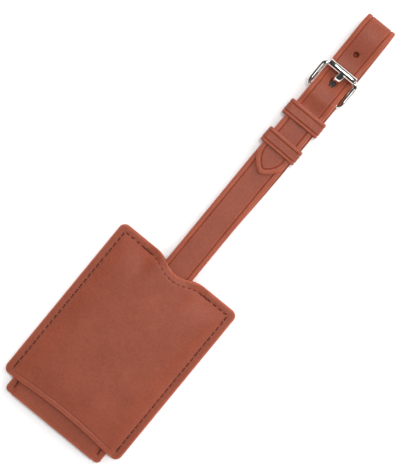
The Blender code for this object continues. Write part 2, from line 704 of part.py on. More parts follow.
def build_keeper(name, ends, skew, leather, tag):
    """A closed leather loop, as wide along Y as its two ends say."""
    middle = (ends[0] + ends[1]) / 2
    outline = rounded_box((-KEEPER_HALF, KEEPER_LOW), (KEEPER_HALF, KEEPER_HIGH), KEEPER_CORNER, 5)
    bm = bmesh.new()
    low = ends[0] - middle
    verts = [bm.verts.new((x, low, z)) for x, z in outline]
    edges = [bm.edges.new(pair) for pair in zip(verts, verts[1:] + verts[:1])]
    made = bmesh.ops.extrude_edge_only(bm, edges=edges)["geom"]
    moved = [v for v in made if isinstance(v, bmesh.types.BMVert)]
    bmesh.ops.translate(bm, verts=moved, vec=Vector((0, ends[1] - ends[0], 0)))
    keeper = mesh_object(name, bm, leather, tag)
    solidify(keeper, KEEPER_LEATHER)
    keeper.location.y = middle
    keeper.rotation_euler.z = skew


def main():
    clear_scene()
    tag = new_collection("luggage_tag")
    cutters = new_collection("cutters")
    cutters.hide_render = True
    leather = new_material("leather", LEATHER_COLOUR, 0.5)
    lining = new_material("lining", LINING_COLOUR, 0.9)
    thread = new_material("thread", THREAD_COLOUR, 0.7)
    metal = new_material("nickel", NICKEL_COLOUR, 0.12, metallic=1.0)
    clear = new_material("clear_film", FILM_COLOUR, 0.1, alpha=0.3)
    paper = new_material("paper", PAPER_COLOUR, 0.8)
    build_cover(leather, lining, thread, tag, cutters)
    build_holder(leather, thread, clear, paper, tag, cutters)
    build_strap_root(leather, tag)
    build_buckle_side(leather, tag, cutters)
    build_tongue_side(leather, tag, cutters)
    build_turnback_thread(thread, tag)
    build_buckle(metal, tag)
    build_prong(metal, tag)
    build_keeper("fixed_keeper", FIXED_KEEPER, 0.0, leather, tag)
    build_keeper("sliding_keeper", SLIDING_KEEPER, SLIDING_KEEPER_SKEW, leather, tag)


main()
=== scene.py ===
"""Looks of a leather luggage tag: stitched cover, card holder, buckled strap and polished buckle.

Everything is in metres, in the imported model's frame: X across the tag, Y along it from the card end
to the fold of the strap, and Z up from the table.
"""

import math
import random

import bmesh
import bpy
from mathutils import Matrix, Vector, noise


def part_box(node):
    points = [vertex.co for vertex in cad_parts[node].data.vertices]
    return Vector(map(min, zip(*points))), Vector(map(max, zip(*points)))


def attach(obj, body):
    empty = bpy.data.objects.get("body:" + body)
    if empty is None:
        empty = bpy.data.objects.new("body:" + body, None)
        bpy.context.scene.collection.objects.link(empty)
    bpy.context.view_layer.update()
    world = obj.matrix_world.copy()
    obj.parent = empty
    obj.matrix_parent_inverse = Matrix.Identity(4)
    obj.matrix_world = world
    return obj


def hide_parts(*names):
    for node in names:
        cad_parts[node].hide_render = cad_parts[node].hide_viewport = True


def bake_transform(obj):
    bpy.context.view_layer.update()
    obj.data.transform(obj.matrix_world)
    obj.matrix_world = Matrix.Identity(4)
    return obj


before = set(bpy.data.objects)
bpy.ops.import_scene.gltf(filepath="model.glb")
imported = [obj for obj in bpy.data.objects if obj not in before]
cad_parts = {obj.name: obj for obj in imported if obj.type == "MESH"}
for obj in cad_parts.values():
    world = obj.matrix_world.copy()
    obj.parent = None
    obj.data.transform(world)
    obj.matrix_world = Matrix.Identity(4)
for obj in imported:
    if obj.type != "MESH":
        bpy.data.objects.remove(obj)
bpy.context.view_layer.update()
MM = 0.001

# ---- Places and sizes, all in metres ----


def node_box(node):
    """A node's box at rest, as two Vectors in metres."""
    low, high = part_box(node)
    return Vector(low), Vector(high)


COVER_LOW, COVER_HIGH = node_box("cover_front_panel")
COVER_HALF = COVER_HIGH.x
COVER_TOP = COVER_HIGH.y
COVER_BOTTOM = COVER_LOW.y
MARGIN_Z = COVER_LOW.z
COVER_CORNER = 3.4 * MM
LEATHER = 0.9 * MM
BOTTOM_SAG = 2.15 * MM
NOTCH_HALF = 14.5 * MM
NOTCH_DEPTH = 3.9 * MM
BACK_NOTCH_DEPTH = 3.4 * MM
SEAM_INSET = 3.6 * MM
SEAM_X = COVER_HALF - SEAM_INSET
SEAM_Y = COVER_TOP - SEAM_INSET
SEAM_END = COVER_BOTTOM + 2.9 * MM
BACK_THREAD_SINK = 0.08 * MM
MOUTH_HALF = 16.3 * MM
MOUTH_SEAM_DEPTH = 3.9 * MM
STITCH_PITCH = 3.15 * MM
PUFF_RISE = 3.05 * MM
PUFF_SPAN = 3.0 * MM
SHOULDER_SPAN = 5.0 * MM
DOME_RISE = 1.5 * MM
MOUTH_RISE = 3.7 * MM
LOOP_RISE = 0.8 * MM
MOUTH_FLAT = 9.0 * MM
MOUTH_FADE = 9.5 * MM
CREASE_INSET = 2.5 * MM

HOLDER_LOW, HOLDER_HIGH = node_box("holder_front_frame")
HOLDER_HALF = HOLDER_HIGH.x
HOLDER_TOP = HOLDER_HIGH.y
HOLDER_BOTTOM = HOLDER_LOW.y
HOLDER_FRAME_Z = HOLDER_LOW.z
HOLDER_BACK_Z = node_box("holder_back_panel")[0].z
HOLDER_TAB_TOP = node_box("holder_back_panel")[1].y
HOLDER_CORNER = 2.2 * MM
HOLDER_SEAM_INSET = 3.2 * MM
HOLDER_SEAM_X = HOLDER_HALF - HOLDER_SEAM_INSET
HOLDER_SEAM_Y = HOLDER_TOP - HOLDER_SEAM_INSET
HOLDER_SEAM_END = HOLDER_BOTTOM + 2 * MM
HOLDER_LIFT = 0.7 * MM
TAB_HALF = 11.0 * MM
TAB_RAMP_Y = -53.0 * MM
TAB_RAMP = 4.5 * MM
TURN_SLOT_LOW = Vector((-8.6, -47.2)) * MM
TURN_SLOT_HIGH = Vector((8.6, -44.5)) * MM
POCKET_WALL = 2.0 * MM

STRAP_THICK = 1.2 * MM
STRAP_HALF = 8.0 * MM
TONGUE_HALF = 7.85 * MM
LOW_LAYER_Z = node_box("strap_root")[0].z + STRAP_THICK / 2
LAYER_GAP = 0.3 * MM
HIGH_LAYER_Z = LOW_LAYER_Z + STRAP_THICK + LAYER_GAP
BAR_LAYER_Z = node_box("strap_root")[1].z - STRAP_THICK / 2
TURN_Y = node_box("strap_root")[0].y + STRAP_THICK / 2 + (BAR_LAYER_Z - LOW_LAYER_Z) / 2
TABLE_LAYER_Z = STRAP_THICK / 2
TONGUE_Z = HIGH_LAYER_Z + STRAP_THICK + LAYER_GAP
FOLD_TOP = node_box("strap_tongue_side")[1].y
FOLD_RADIUS = 3.2 * MM
FOLD_REACH = 7.0 * MM
FOLD_Y = FOLD_TOP - STRAP_THICK / 2 - FOLD_REACH
TIP_Y = 31.6 * MM
TIP_LENGTH = 11.5 * MM
LAYER_DROP_START = 24.5 * MM
LAYER_DROP_END = 32.5 * MM
CLIMB_START = 69.5 * MM
CLIMB_END = 77.5 * MM
DIP_START = 80.5 * MM
DIP_END = 92.0 * MM
RISE_START = 98.0 * MM
SPRING_RISE = 2.3 * MM
TURNBACK_END = 70.5 * MM
TURNBACK_SEAM_Y = 73.0 * MM
FREE_HOLE_Y = 103.7 * MM
FREE_HOLE_RADIUS = 1.30 * MM
WORN_HOLE_Y = 85.8 * MM
WORN_HOLE_RADIUS = 1.75 * MM
WORN_HOLE_STRETCH = 2.2 * MM
PRONG_SLOT_LOW = Vector((-1.9, 76.8)) * MM
PRONG_SLOT_HIGH = Vector((1.9, 83.0)) * MM

HEEL_Y = 79.4 * MM
HEEL_RADIUS = 0.8 * MM
WRAP_RADIUS = HEEL_RADIUS + 0.15 * MM + STRAP_THICK / 2
HEEL_Z = TABLE_LAYER_Z + STRAP_THICK + 0.5 * MM + WRAP_RADIUS
OVER_HEEL_Z = HEEL_Z + WRAP_RADIUS + STRAP_THICK + LAYER_GAP
UNDER_ROLLER_Z = HIGH_LAYER_Z + 0.1 * MM
ROLLER_LOW, ROLLER_HIGH = node_box("buckle_roller")
ROLLER_RADIUS = (ROLLER_HIGH.z - ROLLER_LOW.z) / 2
FRONT_BAR = (ROLLER_LOW + ROLLER_HIGH) / 2

STAGE_Z = -0.12 * MM


def smooth(t):
    """0 below 0, 1 above 1, and an even curve between."""
    t = min(1.0, max(0.0, t))
    return t * t * (3 - 2 * t)


def ridge(distance, width):
    """A soft ridge's height, from 1 on its line to 0 a few widths away."""
    return math.exp(-((distance / width) ** 2))


def rounding(inset, radius):
    """How far a round edge falls below the face at an inset from the edge."""
    into = max(0.0, radius - inset)
    return radius - math.sqrt(max(0.0, radius**2 - into**2))


def stitch_pull(phase):
    """How hard a seam pulls the leather in: 0 at a needle hole and 1 in the middle of a stitch."""
    return 0.5 - 0.5 * math.cos(2 * math.pi * phase)


def spread(start, stop, steps):
    """Evenly spaced numbers from start to stop, both included."""
    return [start + (stop - start) * i / steps for i in range(steps + 1)]


def arc(centre, radius, start, stop, steps):
    """Points on a round arc between two angles in degrees."""
    angles = [math.radians(a) for a in spread(start, stop, steps)]
    return [(centre[0] + radius * math.cos(a), centre[1] + radius * math.sin(a)) for a in angles]


# ---- Materials ----


def new_material(name, colour, roughness, **sockets):
    """A material, its node tree and its shader. Other sockets are given by name, with _ for a space."""
    material = bpy.data.materials.new(name)
    material.use_nodes = True
    shader = material.node_tree.nodes["Principled BSDF"]
    shader.inputs["Base Color"].default_value = (*colour, 1)
    shader.inputs["Roughness"].default_value = roughness
    for socket, value in sockets.items():
        shader.inputs[socket.replace("_", " ")].default_value = value
    return material, material.node_tree, shader


def shade(colour, factor):
    return tuple(c * factor for c in colour)


def texture(tree, kind, scale, **values):
    """A procedural texture node read at the object's own coordinates. scale is in cells a metre."""
    node = tree.nodes.new(kind)
    for socket, value in values.items():
        node.inputs[socket].default_value = value
    node.inputs["Scale"].default_value = scale
    coordinates = tree.nodes.new("ShaderNodeTexCoord")
    tree.links.new(coordinates.outputs["Object"], node.inputs["Vector"])
    return node


def mapped_range(tree, value, low, high):
    node = tree.nodes.new("ShaderNodeMapRange")
    node.inputs["To Min"].default_value = low
    node.inputs["To Max"].default_value = high
    tree.links.new(value, node.inputs["Value"])
    return node.outputs["Result"]


def mixed_colour(tree, factor, first, second):
    node = tree.nodes.new("ShaderNodeMix")
    node.data_type = "RGBA"
    tree.links.new(factor, node.inputs["Factor"])
    for socket, colour in (("A", first), ("B", second)):
        target = [s for s in node.inputs if s.name == socket and s.type == "RGBA"][0]
        if isinstance(colour, tuple):
            target.default_value = (*colour, 1)
        else:
            tree.links.new(colour, target)
    return [s for s in node.outputs if s.type == "RGBA"][0]


def bumped(tree, shader, height, strength, distance, previous=None):
    node = tree.nodes.new("ShaderNodeBump")
    node.inputs["Strength"].default_value = strength
    node.inputs["Distance"].default_value = distance
    tree.links.new(height, node.inputs["Height"])
    if previous:
        tree.links.new(previous, node.inputs["Normal"])
    tree.links.new(node.outputs["Normal"], shader.inputs["Normal"])
    return node.outputs["Normal"]


def leather_material(name, light, dark, roughness=0.50, pebble=2300, specular=0.34):
    """Smooth calf leather: cloudy dye, a fine pebble of pores and a satin finish."""
    material, tree, shader = new_material(name, light, roughness, Specular_IOR_Level=specular)
    clouds = texture(tree, "ShaderNodeTexNoise", 70, Detail=3.0, Roughness=0.55)
    mottle = texture(tree, "ShaderNodeTexNoise", 900, Detail=3.0, Roughness=0.65)
    pores = texture(tree, "ShaderNodeTexVoronoi", pebble)
    cloud_share = mapped_range(tree, clouds.outputs["Fac"], -0.35, 1.35)
    dyed = mixed_colour(tree, cloud_share, dark, light)
    grain_share = mapped_range(tree, mottle.outputs["Fac"], -0.38, 0.74)
    colour = mixed_colour(tree, grain_share, dyed, shade(dark, 0.62))
    tree.links.new(colour, shader.inputs["Base Color"])
    sheen = mapped_range(tree, mottle.outputs["Fac"], roughness - 0.08, roughness + 0.10)
    tree.links.new(sheen, shader.inputs["Roughness"])
    normal = bumped(tree, shader, pores.outputs["Distance"], 0.45, 0.06 * MM)
    bumped(tree, shader, mottle.outputs["Fac"], 0.34, 0.12 * MM, normal)
    return material


def patterned_material(name, light, dark, roughness, specular, pattern, bump):
    """A material whose colour and bump follow one texture.

    pattern is the texture's kind, scale and other sockets, and bump is its strength and height.
    """
    material, tree, shader = new_material(name, light, roughness, Specular_IOR_Level=specular)
    kind, scale, values = pattern
    share = texture(tree, kind, scale, **values).outputs["Fac"]
    tree.links.new(mixed_colour(tree, share, dark, light), shader.inputs["Base Color"])
    bumped(tree, shader, share, *bump)
    return material


def metal_material(name, colour, roughness):
    """Polished nickel plate, with faint handling haze."""
    material, tree, shader = new_material(name, colour, roughness, Metallic=1.0)
    haze = texture(tree, "ShaderNodeTexNoise", 260, Detail=4.0, Roughness=0.6)
    dulled = mapped_range(tree, haze.outputs["Fac"], roughness * 0.6, roughness * 1.9)
    tree.links.new(dulled, shader.inputs["Roughness"])
    bumped(tree, shader, haze.outputs["Fac"], 0.05, 0.05 * MM)
    return material


def film_material(name):
    material, tree, shader = new_material(name, (0.95, 0.96, 0.97), 0.08, Alpha=0.16, IOR=1.45)
    waves = texture(tree, "ShaderNodeTexNoise", 45, Detail=1.0)
    bumped(tree, shader, waves.outputs["Fac"], 0.15, 0.4 * MM)
    return material


FIBRES = "ShaderNodeTexNoise", 2600, {"Detail": 5.0, "Roughness": 0.7}
TWIST = "ShaderNodeTexWave", 900, {"Distortion": 3.0, "Detail": 1.0}
PULP = "ShaderNodeTexNoise", 1500, {"Detail": 5.0, "Roughness": 0.65}
FIBRE_BUMP = 0.6, 0.12 * MM
TWIST_BUMP = 0.5, 0.08 * MM
PULP_BUMP = 0.2, 0.03 * MM
FLESH_TONES = (0.25, 0.085, 0.045), (0.16, 0.050, 0.028)
LINING_TONES = (0.20, 0.070, 0.040), (0.12, 0.040, 0.024)
THREAD_TONES = (0.115, 0.024, 0.014), (0.045, 0.010, 0.007)
PAPER_COLOUR = (0.86, 0.84, 0.78)

LEATHER_LIGHT = (0.284, 0.065, 0.0318)
LEATHER_DARK = (0.221, 0.045, 0.0202)
LEATHER_SKIN = leather_material("leather_skin", LEATHER_LIGHT, LEATHER_DARK)
# The edge finish is a lighter copy of the leather: a painted highlight where the rounded cut edges catch the
# light.
EDGE_HIGHLIGHT_TONES = shade(LEATHER_LIGHT, 1.75), shade(LEATHER_DARK, 1.60)
# The rim finish is a lighter copy of the leather too: a painted highlight on rounded margins and along
# creases.
RIM_HIGHLIGHT_TONES = shade(LEATHER_LIGHT, 1.22), shade(LEATHER_DARK, 1.22)
LEATHER_EDGE_HIGHLIGHT = leather_material("leather_edge_painted_highlight", *EDGE_HIGHLIGHT_TONES, 0.42, 900)
LEATHER_RIM_HIGHLIGHT = leather_material("leather_rim_painted_highlight", *RIM_HIGHLIGHT_TONES, 0.46)
FLESH_SIDE = patterned_material("leather_flesh_side", *FLESH_TONES, 0.95, 0.15, FIBRES, FIBRE_BUMP)
LINING = patterned_material("lining_suede", *LINING_TONES, 0.95, 0.15, FIBRES, FIBRE_BUMP)
THREAD = patterned_material("waxed_thread", *THREAD_TONES, 0.55, 0.35, TWIST, TWIST_BUMP)
# A near-black colour for the painted shade of the needle holes.
NEEDLE_HOLE_SHADE = new_material("needle_hole_shade", (0.030, 0.009, 0.006), 0.9, Specular_IOR_Level=0.1)[0]
NICKEL = metal_material("polished_nickel", (0.86, 0.84, 0.81), 0.03)
FILM = film_material("clear_film")
PAPER_TONES = PAPER_COLOUR, shade(PAPER_COLOUR, 0.93)
PAPER = patterned_material("card_paper", *PAPER_TONES, 0.85, 0.2, PULP, PULP_BUMP)
INK = new_material("card_ruling", (0.30, 0.27, 0.24), 0.8)[0]

# Finishes of a leather sheet: its upper face, its lower face, its edge, lightened as a painted highlight, and
# its upper face's rim, a lighter band of painted highlight.
GRAIN_UP = [LEATHER_SKIN, FLESH_SIDE, LEATHER_EDGE_HIGHLIGHT, LEATHER_RIM_HIGHLIGHT]
GRAIN_DOWN = [FLESH_SIDE, LEATHER_SKIN, LEATHER_EDGE_HIGHLIGHT]

# ---- Mesh builders ----


def finished_mesh(name, bm, materials):
    """An object from a bmesh, with its faces pointing out and smooth shading."""
    bmesh.ops.remove_doubles(bm, verts=bm.verts, dist=1e-7)
    bmesh.ops.dissolve_degenerate(bm, edges=bm.edges, dist=1e-8)
    bmesh.ops.recalc_face_normals(bm, faces=bm.faces)
    mesh = bpy.data.meshes.new(name)
    bm.to_mesh(mesh)
    bm.free()
    for material in materials:
        mesh.materials.append(material)
    mesh.shade_smooth()
    obj = bpy.data.objects.new(name, mesh)
    bpy.context.scene.collection.objects.link(obj)
    return obj


# Width of the band along an outer edge that gets the rim finish, a painted highlight.
HIGHLIGHT_RIM_WIDTH = 1.15 * MM


def slab(name, grid, thickness, materials, ring=False, relief=None):
    """A closed leather sheet with half-round edges.

    grid[i][j] is (x, y, inner height, distance to the nearest edge). With ring, each row closes on itself.
    relief(x, y) is added to the outer face alone. materials are for the outer face, the inner face, the edge
    and, if there is a fourth, the outer face's rim. The edge and rim finishes are lighter copies of the
    leather: painted highlights.
    """
    bm = bmesh.new()
    round_edge = thickness / 2
    outer, inner = [], []
    rows, columns = len(grid), len(grid[0])
    for i, row in enumerate(grid):
        upper, lower = [], []
        for j, (x, y, z, distance) in enumerate(row):
            border = i in (0, rows - 1) or (not ring and j in (0, columns - 1))
            if border:
                vert = bm.verts.new((x, y, z + round_edge))
                upper.append(vert)
                lower.append(vert)
                continue
            lift = rounding(distance, round_edge)
            carved = relief(x, y) if relief else 0.0
            upper.append(bm.verts.new((x, y, z + thickness - lift + carved)))
            lower.append(bm.verts.new((x, y, z + lift)))
        outer.append(upper)
        inner.append(lower)
    edge_width = 0.75 * round_edge
    for side, (sheet, index) in enumerate(((outer, 0), (inner, 1))):
        for i in range(rows - 1):
            for j in range(columns if ring else columns - 1):
                k = (j + 1) % columns
                corners = [sheet[i][j], sheet[i][k], sheet[i + 1][k], sheet[i + 1][j]]
                near = max(grid[i][j][3], grid[i][k][3], grid[i + 1][k][3], grid[i + 1][j][3])
                face = bm.faces.new(corners if side else corners[::-1])
                # Outer faces near the edge get the rim finish, a band of painted highlight.
                rim = index == 0 and len(materials) > 3 and near < HIGHLIGHT_RIM_WIDTH
                face.material_index = 2 if near < edge_width else 3 if rim else index
    return finished_mesh(name, bm, materials)


def swept(name, sections, materials, closed=False, index_of=None):
    """A skin through closed cross-sections, capped at both ends unless it closes on itself."""
    bm = bmesh.new()
    rings = [[bm.verts.new(p) for p in section] for section in sections]
    count = len(rings[0])
    last = len(rings) if closed else len(rings) - 1
    for i in range(last):
        a, b = rings[i], rings[(i + 1) % len(rings)]
        for j in range(count):
            k = (j + 1) % count
            face = bm.faces.new((a[j], a[k], b[k], b[j]))
            if index_of:
                face.material_index = index_of(j)
    if not closed:
        bm.faces.new(rings[0])
        bm.faces.new(rings[-1][::-1])
    return finished_mesh(name, bm, materials)


def wire_sections(points, radii, sides, closed):
    """Round cross-sections square to a path in space, kept from twisting by carrying one normal along."""
    count = len(points)
    places = [Vector(p) for p in points]
    sections = []
    normal = None
    for i, place in enumerate(places):
        after = places[(i + 1) % count] if closed or i + 1 < count else place
        before = places[i - 1] if closed or i > 0 else place
        tangent = (after - before).normalized()
        if normal is None:
            normal = tangent.orthogonal().normalized()
        normal = (normal - tangent * normal.dot(tangent)).normalized()
        across = tangent.cross(normal)
        ring = []
        for a in range(sides):
            angle = 2 * math.pi * a / sides
            ring.append(place + (normal * math.cos(angle) + across * math.sin(angle)) * radii[i])
        sections.append(ring)
    return sections


def joined(name, objects):
    """One object from several, in the order given."""
    bm = bmesh.new()
    materials = list(objects[0].data.materials)
    for obj in objects:
        bm.from_mesh(obj.data)
    mesh = bpy.data.meshes.new(name)
    bm.to_mesh(mesh)
    bm.free()
    for material in materials:
        mesh.materials.append(material)
    mesh.shade_smooth()
    for obj in objects:
        bpy.data.objects.remove(obj)
    made = bpy.data.objects.new(name, mesh)
    bpy.context.scene.collection.objects.link(made)
    return made


def stitches(name, runs, body, node, radius=0.25 * MM, seed=1, facing=1):
    """Separate stitches, each a short length of thread that dives into a needle hole at both ends.

    A run is (place, first, count, knots, length): place(phase) gives a point on the leather's face, stitch k
    goes from phase k to k + 1, a stitch in knots is sewn over a second time, and length is the share of the
    pitch that the thread covers.
    """
    chance = random.Random(seed)
    pieces = []
    for place, first, count, knots, length in runs:
        for k in range(first, first + count):
            layers = 2 if k in knots else 1
            for layer in range(layers):
                slant = chance.uniform(0.05, 0.24) * MM + (0.25 * MM if layer else 0)
                shift = chance.uniform(-0.05, 0.05) + (0.45 if layer else 0)
                reach = length * chance.uniform(0.88, 1.1)
                start = k + shift + (1 - reach) / 2
                points, radii = [], []
                for t in spread(0, 1, 8):
                    at = Vector(place(start + reach * t))
                    along = (Vector(place(start + reach * t + 0.02)) - at).normalized()
                    across = Vector((-along.y, along.x, 0))
                    swell = math.sin(math.pi * t)
                    lift = radius * (0.55 + 0.5 * layer) * swell**0.6 - 0.36 * MM * (1 - swell**0.5)
                    points.append(at + across * slant * (t - 0.5) * 2 + Vector((0, 0, facing * lift)))
                    radii.append(radius * (0.70 + 0.30 * swell))
                thread = wire_sections(points, radii, 8, False)
                pieces.append(swept(f"{name}_{len(pieces)}", thread, [THREAD, NEEDLE_HOLE_SHADE]))
                # At each end a dark bead of painted shade stands in for the needle hole.
                for end in (0, 1):
                    hole = Vector(place(start + reach * end))
                    at = hole + (points[-end] - hole) * 0.5
                    at.z = hole.z
                    size = radius * chance.uniform(1.2, 1.7)
                    pieces.append(needle_hole_shade(f"{name}_{len(pieces)}", at, size))
    made = joined(name, pieces)
    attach(made, body)
    if node:
        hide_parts(node)
    return made


def needle_hole_shade(name, place, radius):
    """Painted shade where a thread goes through the leather: a dark flat bead just proud of the face that
    stands in for the shade in the needle hole.
    """
    bm = bmesh.new()
    bmesh.ops.create_uvsphere(bm, u_segments=10, v_segments=6, radius=1)
    bmesh.ops.scale(bm, verts=bm.verts, vec=(radius, radius, 0.12 * MM))
    bmesh.ops.translate(bm, verts=bm.verts, vec=place)
    for face in bm.faces:
        face.material_index = 1
    return finished_mesh(name, bm, [THREAD, NEEDLE_HOLE_SHADE])


# The share of its pitch that a stitch covers.
SIDE_STITCH = 0.46
SHOULDER_STITCH = 0.34
MOUTH_STITCH = 0.24
HOLDER_STITCH = 0.7
TURNBACK_STITCH = 0.8

# ---- Cover ----


def round_corner(x, half, radius):
    """How far a round corner pulls a sheet's end in at x."""
    return rounding(half - abs(x), radius)


def notch(x, depth):
    """Depth at x of the rounded notch in the cover's mouth."""
    return depth / 2 * (1 + math.cos(math.pi * x / NOTCH_HALF)) if abs(x) < NOTCH_HALF else 0.0


def cover_top_edge(x, depth, inset=0.0):
    corner = round_corner(x, COVER_HALF - inset, COVER_CORNER - inset)
    return COVER_TOP - inset - corner - notch(x, depth)


def cover_bottom_edge(x, inset=0.0):
    straight = COVER_HALF - COVER_CORNER
    sag = BOTTOM_SAG * max(0.0, 1 - (x / straight) ** 2)
    return COVER_BOTTOM + inset + round_corner(x, COVER_HALF - inset, COVER_CORNER - inset) + sag


def cover_edge_distance(x, y, depth, inset=0.0):
    """Distance from a point in the cover's outline to its nearest edge."""
    half, radius = COVER_HALF - inset, COVER_CORNER - inset
    into_x = abs(x) - (half - radius)
    for into_y in (y - (COVER_TOP - inset - radius), (COVER_BOTTOM + inset + radius) - y):
        if into_x > 0 and into_y > 0:
            return max(0.0, radius - math.hypot(into_x, into_y))
    slope = (notch(x + 0.1 * MM, depth) - notch(x - 0.1 * MM, depth)) / (0.2 * MM)
    top = (cover_top_edge(x, depth, inset) - y) / math.hypot(1, slope)
    return max(0.0, min(half - abs(x), top, y - cover_bottom_edge(x, inset)))


def mouth_share(x):
    """1 over the strap at the mouth, 0 out on the sewn shoulders."""
    return smooth((MOUTH_FLAT + MOUTH_FADE - abs(x)) / MOUTH_FADE)


def organic(x, y, size, seed):
    """Gentle unevenness between -1 and 1 over lengths of about size."""
    return noise.noise(Vector((x / size, y / size, seed)))


def front_inner(x, y):
    """Inner face of the cover's front leather."""
    near_bottom = smooth((COVER_BOTTOM + 15 * MM - y) / (15 * MM))
    side = 1 - math.exp(-max(0.0, SEAM_X - 0.2 * MM - abs(x)) / PUFF_SPAN)
    down = max(0.0, SEAM_Y - notch(x, MOUTH_SEAM_DEPTH) - 0.3 * MM - y)
    top = 1 - math.exp(-down / (SHOULDER_SPAN + 4 * MM * mouth_share(x)))
    dome = DOME_RISE * (1 - 0.6 * near_bottom) * max(0.0, 1 - (x / SEAM_X) ** 2)
    puff = (PUFF_RISE + dome) * side
    loop = LOOP_RISE * smooth((COVER_TOP - NOTCH_DEPTH - y) / (3 * MM))
    mouth = mouth_share(x) * (MOUTH_RISE + loop)
    z = MARGIN_Z + mouth + (puff - mouth) * top
    inside = smooth((SEAM_X - 2 * MM - abs(x)) / (8 * MM)) * smooth((SEAM_Y - 3 * MM - y) / (9 * MM))
    z += inside * (0.13 * organic(x, y, 17 * MM, 3.7) + 0.05 * organic(x, y, 7 * MM, 9.1)) * MM
    rim = smooth(1 - (COVER_HALF - abs(x)) / (1.3 * MM))
    shoulder = smooth(1 - (COVER_TOP - y) / (1.3 * MM)) * smooth((abs(x) - MOUTH_HALF) / (3 * MM))
    return z - 0.70 * MM * max(rim, shoulder)


def seam_gap(x, y):
    """Distance to the cover's nearest seam line, and the share of a stitch's length along it."""
    top_line = SEAM_Y - notch(x, MOUTH_SEAM_DEPTH)
    beyond = abs(x) - SEAM_X
    side = math.hypot(beyond, max(0.0, y - SEAM_Y, SEAM_END - y))
    top = math.hypot(max(0.0, beyond), y - top_line)
    if side < top:
        return side, (SEAM_Y - y) / STITCH_PITCH
    return top, (SEAM_X - abs(x)) / STITCH_PITCH


def front_relief(x, y):
    """What is pressed into the face of the front leather: the seams' furrow and the crease at the bottom."""
    gap, phase = seam_gap(x, y)
    furrow = (0.07 + 0.22 * stitch_pull(phase)) * ridge(gap, 0.60 * MM)
    above = y - cover_bottom_edge(x)
    fade = smooth((SEAM_X - 0.6 * MM - abs(x)) / (2.5 * MM))
    crease = 0.36 * ridge(above - CREASE_INSET, 0.28 * MM) - 0.07 * ridge(above - CREASE_INSET, 0.9 * MM)
    lip = 0.16 * ridge(above - 1.0 * MM, 0.8 * MM)
    return (-furrow - fade * crease + lip * fade) * MM


def front_face(x, y):
    """Outer face of the front leather."""
    return front_inner(x, y) + LEATHER + front_relief(x, y)


EDGE_STEPS = [s * MM for s in (0, 0.03, 0.09, 0.18, 0.30, 0.45, 0.65, 0.90, 1.20)]


def stations(low, high, low_run, high_run, fine, coarse):
    """Stations between two edges: crowded at the edges, fine for a run inside each, coarse between."""
    low_side = [low + s for s in EDGE_STEPS]
    low_side += spread(low_side[-1], low + low_run, round((low_run - EDGE_STEPS[-1]) / fine))[1:]
    high_side = [high - s for s in EDGE_STEPS]
    high_side += spread(high_side[-1], high - high_run, round((high_run - EDGE_STEPS[-1]) / fine))[1:]
    middle = spread(low_side[-1], high_side[-1], max(1, round((high_side[-1] - low_side[-1]) / coarse)))
    return low_side + middle[1:-1] + high_side[::-1]


def graph_grid(columns, shares, low_edge, high_edge, height, distance):
    """A grid over the space between two edges that are functions of x."""
    grid = []
    for x in columns:
        low, high = low_edge(x), high_edge(x)
        row = []
        for share in shares:
            y = low + (high - low) * share
            row.append((x, y, height(x, y), distance(x, y)))
        grid.append(row)
    return grid


def cover_grid(inset, depth, height, fine, coarse):
    """The cover's outline drawn in by an inset, as a grid for slab."""
    half = COVER_HALF - inset
    columns = stations(-half, half, 7 * MM, 7 * MM, fine, coarse)
    length = COVER_TOP - COVER_BOTTOM - 2 * inset
    shares = [s / length for s in stations(0, length, 5.2 * MM, 9.5 * MM, fine, coarse)]
    return graph_grid(
        columns,
        shares,
        lambda x: cover_bottom_edge(x, inset),
        lambda x: cover_top_edge(x, depth, inset),
        height,
        lambda x, y: cover_edge_distance(x, y, depth, inset),
    )


def back_underside(x, y):
    """The back panel lies on the table; its seams' furrows are pressed up into it."""
    gap, phase = seam_gap(x, y)
    return (0.30 - 0.10 * stitch_pull(phase)) * ridge(gap, 0.6 * MM) * MM


def cover_runs(face):
    """The seams of one face: both sides, both shoulders with their reinforced ends, and the mouth."""
    side_count = int((SEAM_Y - SEAM_END) / STITCH_PITCH)
    shoulder_count = int((SEAM_X - MOUTH_HALF) / STITCH_PITCH) + 1
    left, right = [], []
    for side, runs in ((-1, left), (1, right)):

        def down(phase, side=side):
            y = SEAM_Y - phase * STITCH_PITCH
            return side * SEAM_X, y, face(side * SEAM_X, y)

        def across(phase, side=side):
            x = side * (SEAM_X - phase * STITCH_PITCH)
            y = SEAM_Y - notch(x, MOUTH_SEAM_DEPTH)
            return x, y, face(x, y)

        runs.append((down, 0, side_count, (side_count - 1,), SIDE_STITCH))
        knots = (shoulder_count - 2, shoulder_count - 1)
        runs.append((across, 0, shoulder_count, knots, SHOULDER_STITCH))
    half = SEAM_X - shoulder_count * STITCH_PITCH
    count = round(2 * half / (0.8 * STITCH_PITCH))

    def mouth(phase):
        x = -half + phase * 2 * half / count
        y = SEAM_Y - notch(x, MOUTH_SEAM_DEPTH)
        return x, y, face(x, y)

    return left, right, [(mouth, 0, count, (), MOUTH_STITCH)]


